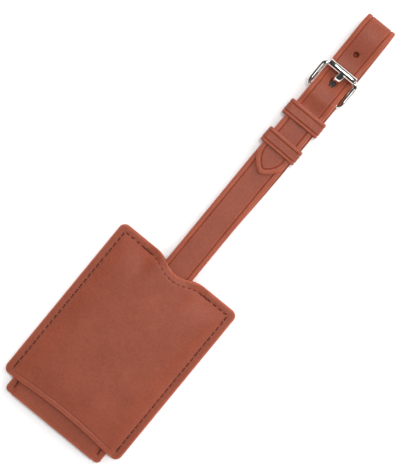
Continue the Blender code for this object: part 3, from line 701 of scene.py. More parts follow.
def build_cover():
    grid = cover_grid(0, NOTCH_DEPTH, front_inner, 0.32 * MM, 0.58 * MM)
    front = slab("cover_front", grid, LEATHER, GRAIN_UP, relief=front_relief)
    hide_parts("cover_front_panel")

    inset, gap, thin = 1.4 * MM, 0.1 * MM, 0.2 * MM
    grid = cover_grid(inset, NOTCH_DEPTH, lambda x, y: front_inner(x, y) - gap - thin, 0.5 * MM, 1.0 * MM)
    lining = slab("cover_front_lining_sheet", grid, thin, [LINING] * 3)
    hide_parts("cover_front_lining")
    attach(lining, "cover")

    grid = cover_grid(0, BACK_NOTCH_DEPTH, lambda x, y: 0.0, 0.45 * MM, 0.9 * MM)
    back = slab("cover_back", grid, LEATHER, GRAIN_DOWN)
    for vert in back.data.vertices:
        x, y, z = vert.co
        if z < 0.3 * LEATHER:
            vert.co.z += back_underside(x, y)
    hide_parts("cover_back_panel")
    for piece in (front, back):
        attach(piece, "cover")

    left, right, mouth = cover_runs(front_face)
    stitches("cover_stitches_left", left, "cover", "cover_seam_thread_left", seed=3)
    stitches("cover_stitches_right", right, "cover", "cover_seam_thread_right", seed=5)
    stitches("mouth_stitches", mouth, "cover", "mouth_seam_thread", 0.18 * MM, 7)
    left, right, mouth = cover_runs(lambda x, y: back_underside(x, y) + BACK_THREAD_SINK)
    stitches("cover_back_stitches", left + right + mouth, "cover", None, 0.22 * MM, 11, -1)
    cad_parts["cover_back_lining"].data.materials[0] = LINING


# ---- Card holder ----

POCKET_HALF = HOLDER_HALF - HOLDER_SEAM_INSET - 0.4 * MM
POCKET_TOP = HOLDER_TOP - HOLDER_SEAM_INSET - 0.4 * MM
WINDOW_LOW = Vector((-19.0, -111.8)) * MM
WINDOW_HIGH = Vector((19.0, -62.0)) * MM
WINDOW_CORNER = 2.5 * MM
HOLDER_PITCH = 3.1 * MM
TAB_EDGE_STEPS = [s * MM for s in (-0.7, -0.5, -0.35, -0.2, -0.1, 0.0, 0.15)]
RULED_LINES = 5
RULED_TOP = 14 * MM
RULED_PITCH = 8 * MM
RULED_SIZE = Vector((30, 0.25, 0.02)) * MM


def box_distance(x, y, low, high, radius):
    """Signed distance into a rectangle with round corners, positive inside."""
    half_x, half_y = (high[0] - low[0]) / 2 - radius, (high[1] - low[1]) / 2 - radius
    out_x = abs(x - (low[0] + high[0]) / 2) - half_x
    out_y = abs(y - (low[1] + high[1]) / 2) - half_y
    outside = math.hypot(max(0.0, out_x), max(0.0, out_y))
    return radius - outside - min(0.0, max(out_x, out_y))


def rounded_loop(low, high, radius, sides, steps=8):
    """A rectangle's outline with round corners. sides is the number of steps along X and along Y."""
    x0, y0, x1, y1 = low[0] + radius, low[1] + radius, high[0] - radius, high[1] - radius
    corners = [((x0, y0), 180), ((x1, y0), 270), ((x1, y1), 0), ((x0, y1), 90)]
    points = []
    for i, (centre, start) in enumerate(corners):
        points += arc(centre, radius, start, start + 90, steps)
        following, begin = corners[(i + 1) % 4]
        a = points[-1]
        b = arc(following, radius, begin, begin + 90, 1)[0]
        count = sides[i % 2]
        for k in range(1, count):
            points.append((a[0] + (b[0] - a[0]) * k / count, a[1] + (b[1] - a[1]) * k / count))
    return points


def holder_seam_gap(x, y):
    """Distance to the holder's nearest seam line, and the share of a stitch's length along it."""
    beyond = abs(x) - HOLDER_SEAM_X
    side = math.hypot(beyond, max(0.0, y - HOLDER_SEAM_Y, HOLDER_SEAM_END - y))
    top = math.hypot(max(0.0, beyond), y - HOLDER_SEAM_Y)
    if side < top:
        return side, (HOLDER_SEAM_Y - y) / HOLDER_PITCH
    return top, -beyond / HOLDER_PITCH


def holder_inner(x, y):
    """Inner face of the holder's front frame: sewn down at its sides and top, lifted over the card."""
    lift = HOLDER_LIFT * smooth(min(POCKET_HALF - abs(x), POCKET_TOP - y) / POCKET_WALL)
    return HOLDER_FRAME_Z + lift


def holder_relief(x, y):
    gap, phase = holder_seam_gap(x, y)
    furrow = (0.08 + 0.20 * stitch_pull(phase)) * ridge(gap, 0.55 * MM)
    window = -box_distance(x, y, WINDOW_LOW, WINDOW_HIGH, WINDOW_CORNER)
    crease = 0.18 * ridge(window - 1.8 * MM, 0.2 * MM)
    return -(furrow + crease) * MM


def holder_face(x, y):
    return holder_inner(x, y) + LEATHER + holder_relief(x, y)


def build_holder_frame():
    low, high = (-HOLDER_HALF, HOLDER_BOTTOM), (HOLDER_HALF, HOLDER_TOP)
    sides = (90, 110)
    outer = rounded_loop(low, high, HOLDER_CORNER, sides)
    inner = rounded_loop(WINDOW_LOW, WINDOW_HIGH, WINDOW_CORNER, sides)
    across = 9.5 * MM
    shares = [s / across for s in stations(0, across, 5.8 * MM, 2.4 * MM, 0.28 * MM, 0.5 * MM)]
    grid = []
    for share in shares:
        row = []
        for (ax, ay), (bx, by) in zip(outer, inner):
            x, y = ax + (bx - ax) * share, ay + (by - ay) * share
            rim = box_distance(x, y, low, high, HOLDER_CORNER)
            hole = -box_distance(x, y, WINDOW_LOW, WINDOW_HIGH, WINDOW_CORNER)
            row.append((x, y, holder_inner(x, y), max(0.0, min(rim, hole))))
        grid.append(row)
    piece = slab("holder_front", grid, LEATHER, GRAIN_UP, ring=True, relief=holder_relief)
    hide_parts("holder_front_frame")
    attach(piece, "holder")


def holder_back_top(x):
    """The back panel's upper edge, with the tab that the strap turns through."""
    shoulder = HOLDER_TOP - round_corner(x, HOLDER_HALF, HOLDER_CORNER)
    tab = HOLDER_TAB_TOP - round_corner(x, TAB_HALF, 2 * MM) if abs(x) < TAB_HALF else shoulder
    side = smooth((TAB_HALF - abs(x)) / (0.5 * MM))
    return shoulder + (tab - shoulder) * side


def holder_back_bottom(x):
    return HOLDER_BOTTOM + round_corner(x, HOLDER_HALF, HOLDER_CORNER)


def holder_back_inner(x, y):
    rise = HIGH_LAYER_Z - STRAP_THICK / 2 - HOLDER_BACK_Z
    return HOLDER_BACK_Z + rise * smooth((y - TAB_RAMP_Y) / TAB_RAMP)


def holder_back_distance(x, y):
    if y > HOLDER_TOP:
        return max(0.0, min(TAB_HALF - abs(x), HOLDER_TAB_TOP - y))
    edge = box_distance(x, y, (-HOLDER_HALF, HOLDER_BOTTOM), (HOLDER_HALF, HOLDER_TOP), HOLDER_CORNER)
    inside_tab = TAB_HALF - abs(x)
    return max(0.0, max(edge, inside_tab) if HOLDER_TOP - y < TAB_HALF else edge)


def cut_out(obj, low, high, radius, z_low, z_high):
    """Cuts a hole with round corners through a piece."""
    outline = rounded_loop(low, high, radius, (2, 2), 6)
    ends = [[(x, y, z) for x, y in outline] for z in (z_low, z_high)]
    subtract(obj, swept("cutter", ends, []))


def subtract(obj, cutter):
    """Takes the cutter's space away from a piece, and deletes the cutter."""
    modifier = obj.modifiers.new("cut", "BOOLEAN")
    modifier.operation = "DIFFERENCE"
    modifier.solver = "EXACT"
    modifier.object = cutter
    bpy.context.view_layer.update()
    evaluated = obj.evaluated_get(bpy.context.evaluated_depsgraph_get())
    result = bpy.data.meshes.new_from_object(evaluated)
    obj.modifiers.remove(modifier)
    obj.data = result
    bpy.data.objects.remove(cutter)


def build_holder_back():
    columns = stations(-HOLDER_HALF, HOLDER_HALF, 4 * MM, 4 * MM, 0.5 * MM, 1.0 * MM)
    columns += [side * (TAB_HALF + s) for s in TAB_EDGE_STEPS for side in (-1, 1)]
    columns = sorted(set(round(c, 7) for c in columns))
    length = HOLDER_TAB_TOP - HOLDER_BOTTOM
    shares = [s / length for s in stations(0, length, 4 * MM, 14 * MM, 0.5 * MM, 1.0 * MM)]
    edges = holder_back_bottom, holder_back_top
    grid = graph_grid(columns, shares, *edges, holder_back_inner, holder_back_distance)
    piece = slab("holder_back", grid, LEATHER, GRAIN_DOWN)
    cut_out(piece, TURN_SLOT_LOW, TURN_SLOT_HIGH, 0.6 * MM, 0, 8 * MM)
    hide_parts("holder_back_panel")
    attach(piece, "holder")


def holder_runs():
    """The holder's seams: down both sides and over the top."""
    runs = []
    count = int((HOLDER_SEAM_Y - HOLDER_SEAM_END) / HOLDER_PITCH)
    for side in (-1, 1):

        def down(phase, side=side):
            y = HOLDER_SEAM_Y - phase * HOLDER_PITCH
            return side * HOLDER_SEAM_X, y, holder_face(side * HOLDER_SEAM_X, y)

        runs.append((down, 0, count, (count - 1,), HOLDER_STITCH))
    width = 2 * HOLDER_SEAM_X
    over_count = round(width / HOLDER_PITCH)

    def over(phase):
        x = -HOLDER_SEAM_X + phase * width / over_count
        return x, HOLDER_SEAM_Y, holder_face(x, HOLDER_SEAM_Y)

    runs.append((over, 0, over_count, (), HOLDER_STITCH))
    return runs


def build_card():
    """The card and its window stay as they are; the card gets ruled lines to write on."""
    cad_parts["holder_window"].data.materials[0] = FILM
    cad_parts["id_card"].data.materials[0] = PAPER
    high = node_box("id_card")[1]
    bm = bmesh.new()
    for k in range(RULED_LINES):
        y = high.y - RULED_TOP - RULED_PITCH * k
        made = bmesh.ops.create_cube(bm, size=1)["verts"]
        bmesh.ops.scale(bm, verts=made, vec=RULED_SIZE)
        bmesh.ops.translate(bm, verts=made, vec=(0, y, high.z + RULED_SIZE.z / 2))
    ruling = finished_mesh("card_ruling_lines", bm, [INK])
    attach(ruling, "card")


# ---- Strap ----


def tongue_z(y):
    """Centreline of the tongue, from its tip on the strap, through the buckle, to the fold."""
    top = TABLE_LAYER_Z + 2 * FOLD_RADIUS
    climb = (OVER_HEEL_Z - TONGUE_Z) * smooth((y - CLIMB_START) / (CLIMB_END - CLIMB_START))
    dip = (UNDER_ROLLER_Z - OVER_HEEL_Z) * smooth((y - DIP_START) / (DIP_END - DIP_START))
    rise = (top - UNDER_ROLLER_Z) * smooth((y - RISE_START) / (FOLD_Y - RISE_START))
    return TONGUE_Z + climb + dip + rise


def back_layer_z(y):
    """Centreline of the layer underneath, which springs up towards the tongue in front of the buckle."""
    drop = smooth((y - LAYER_DROP_START) / (LAYER_DROP_END - LAYER_DROP_START))
    spring = smooth((y - 92 * MM) / (14 * MM)) * smooth((116 * MM - y) / (10 * MM))
    return LOW_LAYER_Z + (TABLE_LAYER_Z - LOW_LAYER_Z) * drop + SPRING_RISE * spring


def back_layer_shift(y):
    """The back layer works out to the right of the front one, most under the keepers."""
    out = smooth((y + 5 * MM) / (45 * MM))
    return (0.95 * out - 0.30 * smooth((y - 80 * MM) / (35 * MM))) * MM


def strap_path():
    """Stations (y, z, sideways shift, distance from the tip or None) along the whole strap."""
    climb = OVER_HEEL_Z - STRAP_THICK - LAYER_GAP - HIGH_LAYER_Z
    bar_start = HOLDER_TAB_TOP - 0.2 * MM
    bar_end = bar_start + 5.2 * MM
    path = []

    def straight(start, stop, step, height, shift, tip=None):
        count = max(1, round(abs(stop - start) / step))
        for y in spread(start, stop, count)[1:]:
            path.append((y, height(y), shift(y), y - tip if tip is not None else None))

    def bend(centre, radius, start, stop, steps, shift_from, shift_to, stretch=1.0):
        for i, (y, z) in enumerate(arc(centre, radius, start, stop, steps)):
            shift = shift_from + (shift_to - shift_from) * i / steps
            path.append((centre[0] + (y - centre[0]) * stretch, z, shift, None))

    def upper(y):
        return HIGH_LAYER_Z + climb * smooth((y - CLIMB_START) / (CLIMB_END - CLIMB_START))

    def over_bar(y):
        return BAR_LAYER_Z + (HIGH_LAYER_Z - BAR_LAYER_Z) * smooth((y - bar_start) / (5 * MM))

    def none(y):
        return 0.0

    step = 0.9 * MM
    path.append((TURNBACK_END, HEEL_Z - WRAP_RADIUS, 0.0, None))
    straight(TURNBACK_END, HEEL_Y - step, step, lambda y: HEEL_Z - WRAP_RADIUS, none)
    bend((HEEL_Y, HEEL_Z), WRAP_RADIUS, -90, 90, 16, 0, 0)
    straight(HEEL_Y, CLIMB_END, step, upper, none)
    straight(CLIMB_END, CLIMB_START, 0.6 * MM, upper, none)
    straight(CLIMB_START, bar_end, step, upper, none)
    straight(bar_end, bar_start, 0.5 * MM, over_bar, none)
    straight(bar_start, TURN_Y + 0.6 * MM, 0.6 * MM, over_bar, none)
    turn = (TURN_Y, (LOW_LAYER_Z + BAR_LAYER_Z) / 2)
    bend(turn, (BAR_LAYER_Z - LOW_LAYER_Z) / 2, 90, 270, 16, 0, 0)
    straight(TURN_Y, LAYER_DROP_START, step, back_layer_z, back_layer_shift)
    straight(LAYER_DROP_START, LAYER_DROP_END, 0.6 * MM, back_layer_z, back_layer_shift)
    straight(LAYER_DROP_END, FOLD_Y - step, step, back_layer_z, back_layer_shift)
    fold = (FOLD_Y, TABLE_LAYER_Z + FOLD_RADIUS)
    bend(fold, FOLD_RADIUS, -90, 90, 32, back_layer_shift(FOLD_Y), 0, FOLD_REACH / FOLD_RADIUS)
    straight(FOLD_Y, 95 * MM, 0.7 * MM, tongue_z, none, TIP_Y)
    straight(95 * MM, TIP_Y + TIP_LENGTH, 0.6 * MM, tongue_z, none, TIP_Y)
    straight(TIP_Y + TIP_LENGTH, TIP_Y + 1 * MM, 0.3 * MM, tongue_z, none, TIP_Y)
    straight(TIP_Y + 1 * MM, TIP_Y + 0.04 * MM, 0.08 * MM, tongue_z, none, TIP_Y)
    return path


# Insets from the strap's edge at which each face has points, closest together at the crease.
GRAIN_INSETS = [0, 0.04, 0.14, 0.30, 0.55, 1.2, 1.75, 2.05, 2.22, 2.36, 2.50, 2.64]
GRAIN_INSETS = [s * MM for s in GRAIN_INSETS + [2.78, 2.95, 3.3, 3.8, 4.6, 6.0]]
FLESH_INSETS = [s * MM for s in (0.04, 0.14, 0.30, 1.0, 4)]
FLESH_ROUND = 0.3 * MM


def strap_profile(inset):
    """Height of the strap's grain face above its own rounded level, at an inset from its edge."""
    groove = 0.46 * MM * ridge(inset - CREASE_INSET, 0.24 * MM)
    lip = 0.12 * MM * ridge(inset - 1.5 * MM, 0.6 * MM) + 0.08 * MM * ridge(inset - 3.3 * MM, 0.5 * MM)
    return lip - rounding(inset, 0.58 * MM) - groove


def inset_half(inset, half, tip):
    """Half the width left inside an inset at a distance from the tip, and the inset reached there."""
    if tip is None or tip >= TIP_LENGTH:
        return max(0.0, half - inset), inset
    radius = (TIP_LENGTH**2 + half**2) / (2 * half)
    back = TIP_LENGTH - tip
    reach = (radius - inset) ** 2 - back**2
    width = math.sqrt(max(0.0, reach)) - (radius - half)
    if width > 0:
        return width, inset
    return 0.0, radius - math.hypot(back, radius - half)


def strap_sections():
    """The strap's cross-section at each station of its path, square to the path."""
    path = strap_path()
    sections = []
    for i, (y, z, shift, tip) in enumerate(path):
        before, after = path[max(0, i - 1)], path[min(len(path) - 1, i + 1)]
        along = Vector((after[0] - before[0], after[1] - before[1])).normalized()
        out_y, out_z = along.y, -along.x
        share = 0.0 if tip is None else smooth((FOLD_TOP - y) / (22 * MM))
        half = STRAP_HALF + (TONGUE_HALF - STRAP_HALF) * share
        grain, flesh = [], []
        for inset in GRAIN_INSETS + [half]:
            width, reached = inset_half(inset, half, tip)
            grain.append((width, STRAP_THICK / 2 + strap_profile(reached)))
        for inset in FLESH_INSETS + [half]:
            width, reached = inset_half(inset, half, tip)
            flesh.append((width, rounding(reached, FLESH_ROUND) - STRAP_THICK / 2))
        right = flesh[::-1] + grain
        left = [(-w, r) for w, r in right[::-1]][1:-1]
        loop = right + left
        sections.append([(w + shift, y + out_y * r, z + out_z * r) for w, r in loop])
    return sections


def build_strap():
    sections = strap_sections()
    flesh_count = len(FLESH_INSETS) + 1
    count = len(sections[0])

    def finish_of(j):
        """The finish of a section's face j. k counts faces inwards over the grain from the strap's edge."""
        k = min(j, count - 1 - j) - flesh_count
        if k < -2:
            return 1
        if k < 3:
            return 2
        # Faces 3 to 7 (the rounded margin) and 12 and 13 (the crease's inner wall) get the rim finish, a
        # painted highlight.
        return 3 if k < 8 or 12 <= k < 14 else 0

    strap = swept("strap_leather", sections, GRAIN_UP, index_of=finish_of)
    punch(strap, FREE_HOLE_Y, FREE_HOLE_RADIUS, 0)
    punch(strap, WORN_HOLE_Y, WORN_HOLE_RADIUS, WORN_HOLE_STRETCH)
    cut_out(strap, PRONG_SLOT_LOW, PRONG_SLOT_HIGH, 1.2 * MM, 1.4 * MM, 6.15 * MM)
    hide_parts("strap_root", "strap_buckle_side", "strap_tongue_side")
    strap.data.shade_smooth()
    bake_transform(strap)


# The punch's profile: height above the strap's face, and how much wider than the hole it is there.
PUNCH_PROFILE = [(-2.2 * MM, 0), (-0.26 * MM, 0), (-0.05 * MM, 0.20 * MM), (1.0 * MM, 0.9 * MM)]


def punch(strap, y, radius, stretch):
    """A punched hole through the tongue with a pressed rim; stretch pulls it out into a slot along Y."""
    top = tongue_z(y) + STRAP_THICK / 2
    slope = math.atan2(tongue_z(y + MM) - tongue_z(y - MM), 2 * MM)
    sine, cosine = math.sin(slope), math.cos(slope)
    sections = []
    for z, wider in PUNCH_PROFILE:
        ring = []
        for x, along in arc((0, 0), radius + wider, 0, 345, 23):
            if along > 0:
                along += stretch
            ring.append((x, y + along * cosine - z * sine, top + along * sine + z * cosine))
        sections.append(ring)
    subtract(strap, swept("punch", sections, []))


def build_turnback_stitches():
    z = HEEL_Z - WRAP_RADIUS - STRAP_THICK / 2

    def across(phase):
        return (phase - 2) * STITCH_PITCH, TURNBACK_SEAM_Y, z

    runs = [(across, 0, 4, (), TURNBACK_STITCH)]
    stitches("turnback_stitches", runs, "strap", "turnback_seam_thread", 0.16 * MM, 13, -1)


# ---- Keepers ----

KEEPER_INSETS = [0, 0.04, 0.12, 0.25, 0.45, 0.7, 0.95, 1.15, 1.3, 1.45, 1.6]
KEEPER_INSETS = [s * MM for s in KEEPER_INSETS + [1.75, 1.9, 2.05, 2.2, 2.35, 2.55, 2.9]]
KEEPER_THICK = 1.0 * MM
KEEPER_TOP_CREASE = 2.1 * MM
KEEPER_LOW_CREASE = 1.45 * MM


def keeper_relief(inset, crease):
    """Height of a keeper's face above its own level: rounded off at the edge, with one creased line."""
    lips = ridge(inset - crease + 0.7 * MM, 0.4 * MM) + ridge(inset - crease - 0.7 * MM, 0.4 * MM)
    groove = 0.42 * MM * ridge(inset - crease, 0.24 * MM)
    return 0.09 * MM * lips - rounding(inset, 0.36 * MM) - groove


def keeper_loop(half, low, high, bow):
    """Centreline of a keeper in X and Z, with the way out at each point."""
    radius = 1.5 * MM
    outline = rounded_loop((-half, low), (half, high), radius, (26, 6), 8)
    points = []
    for x, z in outline:
        if z > (low + high) / 2:
            z += bow * max(0.0, 1 - (x / half) ** 2)
        points.append(Vector((x, z)))
    loop = []
    for i, point in enumerate(points):
        along = (points[(i + 1) % len(points)] - points[i - 1]).normalized()
        loop.append((point, Vector((along.y, -along.x))))
    return loop


def build_keeper(name, node, body, widen, skew):
    """A keeper loop round the strap. widen is added to half its width, and skew turns it askew."""
    low, high = node_box(node)
    thick = KEEPER_THICK
    middle = (low.y + high.y) / 2
    reach = (high.x - low.x) / 2 * math.sin(abs(skew))
    half_length = (high.y - low.y) / 2 - reach
    half = (high.x - low.x) / 2 - thick / 2 + widen
    loop = keeper_loop(half, low.z + thick / 2, high.z - thick / 2, 0.25 * MM)
    outer = [(half_length - s, keeper_relief(s, KEEPER_TOP_CREASE)) for s in KEEPER_INSETS]
    outer.append((0.0, 0.0))
    outer += [(s - half_length, keeper_relief(s, KEEPER_LOW_CREASE)) for s in KEEPER_INSETS[::-1]]
    inner = [(-half_length + 0.1 * MM, 0.12 * MM), (-half_length + 0.4 * MM, 0), (0, 0)]
    inner += [(half_length - 0.4 * MM, 0), (half_length - 0.1 * MM, 0.12 * MM)]
    cosine, sine = math.cos(skew), math.sin(skew)
    sections = []
    for point, out in loop:
        ring = []
        for v, rise in outer:
            place = point + out * (thick / 2 + rise)
            ring.append((place.x, v, place.y))
        for v, rise in inner:
            place = point - out * (thick / 2 - rise)
            ring.append((place.x, v, place.y))
        sections.append([(x * cosine - v * sine, middle + x * sine + v * cosine, z) for x, v, z in ring])
    count = len(outer)

    def finish_of(j):
        # The outer face's bands near both edges get the rim finish, a painted highlight.
        if 2 <= j < count - 3:
            return 3 if j < 6 or j >= count - 7 else 0
        return 1 if count <= j < count + len(inner) - 1 else 2

    piece = swept(name, sections, GRAIN_UP, closed=True, index_of=finish_of)
    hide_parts(node)
    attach(piece, body)


# ---- Buckle ----

FRAME_HALF = 9.62 * MM
FRAME_WIRE = 1.3 * MM
FRONT_WIRE = 1.0 * MM
HEEL_CORNER = 1.9 * MM
CHAMFER_X = 2.5 * MM
CHAMFER_Y = 2.2 * MM
CHAMFER_ROUND = 0.7 * MM
ROLLER_BORE = 1.15 * MM
ROLLER_EDGE = 0.22 * MM
PRONG_THICK = 1.0 * MM
PRONG_HALF = 1.55 * MM
PRONG_LEAN = 1.0 * MM
PRONG_SIDES = 28
# The prong's way up from the hole, as a place from the heel bar's middle, and then over the roller, as places
# back from the roller's middle and down from the top.
PRONG_KNEE = Vector((8.0, 1.50)) * MM
PRONG_HUMP = [(5.5, 3.0), (4.9, 2.3), (4.3, 1.6), (3.5, 0.9), (2.5, 0.38), (1.4, 0.08), (0.3, 0), (-0.25, 0)]


def filleted(corners, radii, steps=8):
    """A closed polygon with each corner rounded, as points (x, y)."""
    points = []
    count = len(corners)
    for i in range(count):
        corner = Vector(corners[i])
        before = (Vector(corners[i - 1]) - corner).normalized()
        after = (Vector(corners[(i + 1) % count]) - corner).normalized()
        angle = before.angle(after)
        reach = radii[i] / math.tan(angle / 2)
        centre = corner + (before + after).normalized() * (radii[i] / math.sin(angle / 2))
        start = corner + before * reach - centre
        stop = corner + after * reach - centre
        turn = start.angle_signed(stop)
        for k in range(steps + 1):
            spoke = start.copy()
            spoke.rotate(Matrix.Rotation(-turn * k / steps, 2))
            points.append(tuple(centre + spoke))
    return points


def build_frame():
    """A closed wire: thin at the heel and under the roller, thick in its arms."""
    length = math.hypot(FRONT_BAR.y - HEEL_Y, FRONT_BAR.z - HEEL_Z)
    tilt = math.atan2(FRONT_BAR.z - HEEL_Z, FRONT_BAR.y - HEEL_Y)
    half = FRAME_HALF
    corners = [(half, 0), (half, length - CHAMFER_Y), (half - CHAMFER_X, length)]
    corners += [(-half + CHAMFER_X, length), (-half, length - CHAMFER_Y), (-half, 0)]
    round_ends, chamfers = [HEEL_CORNER], [CHAMFER_ROUND] * 4
    outline = filleted(corners, round_ends + chamfers + round_ends)
    outline = resampled(outline, 0.35 * MM)
    points, radii = [], []
    for x, y in outline:
        to_heel = smooth((y - 0.6 * MM) / (2.6 * MM))
        to_front = smooth((length - y) / (1.6 * MM))
        radius = HEEL_RADIUS + (FRAME_WIRE - HEEL_RADIUS) * to_heel
        radius = FRONT_WIRE + (radius - FRONT_WIRE) * max(to_front, smooth((abs(x) - 7.4 * MM) / (1.2 * MM)))
        points.append((x, HEEL_Y + y * math.cos(tilt), HEEL_Z + y * math.sin(tilt)))
        radii.append(radius)
    piece = swept("buckle_frame_wire", wire_sections(points, radii, 24, True), [NICKEL], closed=True)
    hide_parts("buckle_frame")
    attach(piece, "buckle")


def resampled(outline, step):
    """The same closed outline with points a step apart."""
    places = [Vector(p) for p in outline]
    ring = places + [places[0]]
    lengths = [(b - a).length for a, b in zip(ring, ring[1:])]
    total = sum(lengths)
    count = round(total / step)
    made, index, passed = [], 0, 0.0
    for k in range(count):
        at = total * k / count
        while passed + lengths[index] < at:
            passed += lengths[index]
            index += 1
        share = (at - passed) / lengths[index] if lengths[index] else 0
        made.append(tuple(ring[index].lerp(ring[index + 1], share)))
    return made


def build_roller():
    half = (ROLLER_HIGH.x - ROLLER_LOW.x) / 2
    bore, edge = ROLLER_BORE, ROLLER_EDGE
    profile = [(half - 0.05 * MM, bore), (half, bore + 0.08 * MM)]
    profile += arc((half - edge, ROLLER_RADIUS - edge), edge, 0, 90, 6)
    profile += arc((-half + edge, ROLLER_RADIUS - edge), edge, 90, 180, 6)
    profile += [(-half, bore + 0.08 * MM), (-half + 0.05 * MM, bore)]
    sections = []
    for k in range(64):
        angle = 2 * math.pi * k / 64
        ring = []
        for x, r in profile:
            ring.append((x, FRONT_BAR.y + r * math.cos(angle), FRONT_BAR.z + r * math.sin(angle)))
        sections.append(ring)
    piece = swept("buckle_roller_tube", sections, [NICKEL], closed=True)
    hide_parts("buckle_roller")
    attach(piece, "roller")


def prong_route():
    """The prong's centreline in Y and Z: round the heel bar, up through the hole and over the roller."""
    ring = HEEL_RADIUS + 0.12 * MM + PRONG_THICK / 2
    points = arc((0, 0), ring, 20, 293, 20)
    top = FRONT_BAR.z - HEEL_Z + ROLLER_RADIUS + 0.15 * MM + PRONG_THICK / 2
    reach = FRONT_BAR.y - HEEL_Y
    eye_end = Vector(points[-1])
    points += [tuple(eye_end.lerp(PRONG_KNEE, share)) for share in (0.25, 0.5, 0.75, 1.0)]
    points += [(reach - y * MM, top - z * MM) for y, z in PRONG_HUMP]
    return [Vector((0, HEEL_Y + y, HEEL_Z + z)) for y, z in points]


def catmull(points, steps):
    """A smooth curve through points."""
    made = []
    for i in range(len(points) - 1):
        p0, p1 = points[max(0, i - 1)], points[i]
        p2, p3 = points[i + 1], points[min(len(points) - 1, i + 2)]
        for k in range(steps):
            t = k / steps
            square = (2 * p0 - 5 * p1 + 4 * p2 - p3) * t**2
            cube = (3 * p1 - p0 - 3 * p2 + p3) * t**3
            made.append(0.5 * (2 * p1 + (p2 - p0) * t + square + cube))
    made.append(points[-1])
    return made


def build_prong():
    """A flat bar with rounded edges, narrower and thinner at its end, that leans to the right."""
    steps = 5
    path = catmull(prong_route(), steps)
    total = len(path)
    sections = []
    for i, place in enumerate(path):
        before, after = path[max(0, i - 1)], path[min(total - 1, i + 1)]
        along = (after - before).normalized()
        out = Vector((0, -along.z, along.y))
        left = (total - 1 - i) / steps
        lean = PRONG_LEAN * smooth((place.y - 85 * MM) / (8 * MM))
        close = 1 - 0.35 * (1 - min(1.0, left / 1.2)) ** 2
        flat = 1 - 0.45 * (1 - min(1.0, left / 0.8)) ** 2
        ring = []
        for a in range(PRONG_SIDES):
            angle = 2 * math.pi * a / PRONG_SIDES
            c, s = math.cos(angle), math.sin(angle)
            across = math.copysign(abs(c) ** 0.45, c) * PRONG_HALF * close
            lift = math.copysign(abs(s) ** 0.55, s) * PRONG_THICK / 2 * flat
            ring.append(place + Vector((across + lean, 0, 0)) + out * lift)
        sections.append(ring)
    piece = swept("buckle_prong_bar", sections, [NICKEL])
    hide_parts("buckle_prong")
    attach(piece, "prong")


# ---- Stage, light and camera ----

# Height of a direction above the horizon, from 0 to 1, and how bright the tent is there.
TENT = [(0.0, 1.0), (0.10, 1.0), (0.20, 0.02)]
TENT_STRENGTH = 3.0
BRIGHT_SIDE = (0.3, 0.2, 0.0)

# Each light's name, place, the place it points at, its size, its power and whether polished metal mirrors it.
LIGHTS = [
    ("main_softbox", (0.03, 0.32, 1.25), (0, 0.08, 0), (0.24, 0.15), 6.0, True),
    ("arm_softbox", (0.30, -0.20, 1.25), (0, 0.08, 0), (0.18, 0.12), 0.5, True),
    ("top_fill", (0.05, 0.05, 1.20), (0, 0, 0), (1.2, 1.2), 2.7, False),
    ("back_fill", (0.15, 0.95, 0.55), (0, 0, 0), (0.8, 0.6), 5.9, False),
    ("right_fill", (0.60, 0.30, 0.50), (0, 0, 0), (0.6, 0.6), 3.1, False),
    ("left_fill", (-0.60, 0.10, 0.50), (0, 0, 0), (0.6, 0.6), 2.1, False),
    ("front_fill", (0.0, -0.80, 0.70), (0, 0, 0), (1.0, 0.8), 2.7, False),
]

CAMERA_LEAN = math.radians(39.4)
CAMERA_X = -3.9 * MM
CAMERA_Y = -7.5 * MM
LENS_MM = 100
SENSOR_MM = 36
# The longer side of what the camera sees, in the plane that it looks at, and that plane's height.
VIEW_SPAN = 219.2 * MM
VIEW_PLANE_Z = 4 * MM


def build_stage():
    bm = bmesh.new()
    bmesh.ops.create_grid(bm, x_segments=1, y_segments=1, size=2.5)
    floor = finished_mesh("floor", bm, [new_material("floor_paper", (0.92, 0.92, 0.92), 0.9)[0]])
    floor.location.z = STAGE_Z
    build_world()


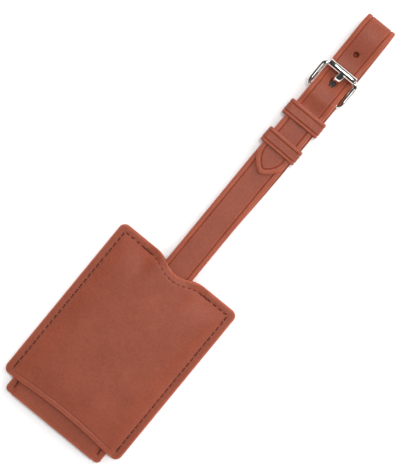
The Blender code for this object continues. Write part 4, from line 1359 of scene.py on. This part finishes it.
def build_world():
    """A white tent that is bright round the horizon and nearly dark above it, where the softboxes are."""
    world = bpy.data.worlds.new("studio")
    bpy.context.scene.world = world
    world.use_nodes = True
    tree = world.node_tree
    direction = tree.nodes.new("ShaderNodeTexCoord").outputs["Generated"]
    split = tree.nodes.new("ShaderNodeSeparateXYZ")
    tree.links.new(direction, split.inputs["Vector"])
    ramp = tree.nodes.new("ShaderNodeValToRGB")
    elements = ramp.color_ramp.elements
    while len(elements) < len(TENT):
        elements.new(0.5)
    for element, (height, value) in zip(elements, TENT):
        element.position = height
        element.color = (value, value, value, 1)
    tree.links.new(split.outputs["Z"], ramp.inputs["Fac"])
    side = tree.nodes.new("ShaderNodeVectorMath")
    side.operation = "DOT_PRODUCT"
    side.inputs[1].default_value = BRIGHT_SIDE
    tree.links.new(direction, side.inputs[0])
    strength = tree.nodes.new("ShaderNodeMath")
    strength.operation = "MULTIPLY_ADD"
    strength.inputs[1].default_value = TENT_STRENGTH
    strength.inputs[2].default_value = TENT_STRENGTH
    tree.links.new(side.outputs["Value"], strength.inputs[0])
    background = tree.nodes["Background"]
    tree.links.new(ramp.outputs["Color"], background.inputs["Color"])
    tree.links.new(strength.outputs["Value"], background.inputs["Strength"])


def area_light(name, place, target, size, power, in_reflections):
    data = bpy.data.lights.new(name, "AREA")
    data.shape = "RECTANGLE"
    data.size, data.size_y = size
    data.energy = power
    light = bpy.data.objects.new(name, data)
    light.location = place
    light.visible_glossy = in_reflections
    aim = Vector(target) - Vector(place)
    light.rotation_euler = aim.to_track_quat("-Z", "Y").to_euler()
    bpy.context.scene.collection.objects.link(light)


def build_camera():
    """Straight above the tag, turned so that the strap leans to the upper right."""
    data = bpy.data.cameras.new("camera")
    data.lens = LENS_MM
    data.sensor_width = SENSOR_MM
    data.clip_start, data.clip_end = 0.01, 20
    camera = bpy.data.objects.new("camera", data)
    camera.location = (CAMERA_X, CAMERA_Y, VIEW_SPAN * LENS_MM / SENSOR_MM + VIEW_PLANE_Z)
    camera.rotation_euler = (0, 0, CAMERA_LEAN)
    bpy.context.scene.collection.objects.link(camera)
    bpy.context.scene.camera = camera


build_camera()
build_cover()
build_holder_frame()
build_holder_back()
stitches("holder_stitches", holder_runs(), "holder", "holder_seam_thread", seed=9)
build_card()
build_strap()
build_turnback_stitches()
build_keeper("fixed_keeper_loop", "fixed_keeper", "strap", 0.35 * MM, 0.0)
build_keeper("sliding_keeper_loop", "sliding_keeper", "keeper", -0.1 * MM, math.radians(-1.2))
build_frame()
build_roller()
build_prong()
build_stage()
for light in LIGHTS:
    area_light(*light)
bpy.context.scene.view_settings.view_transform = "Standard"
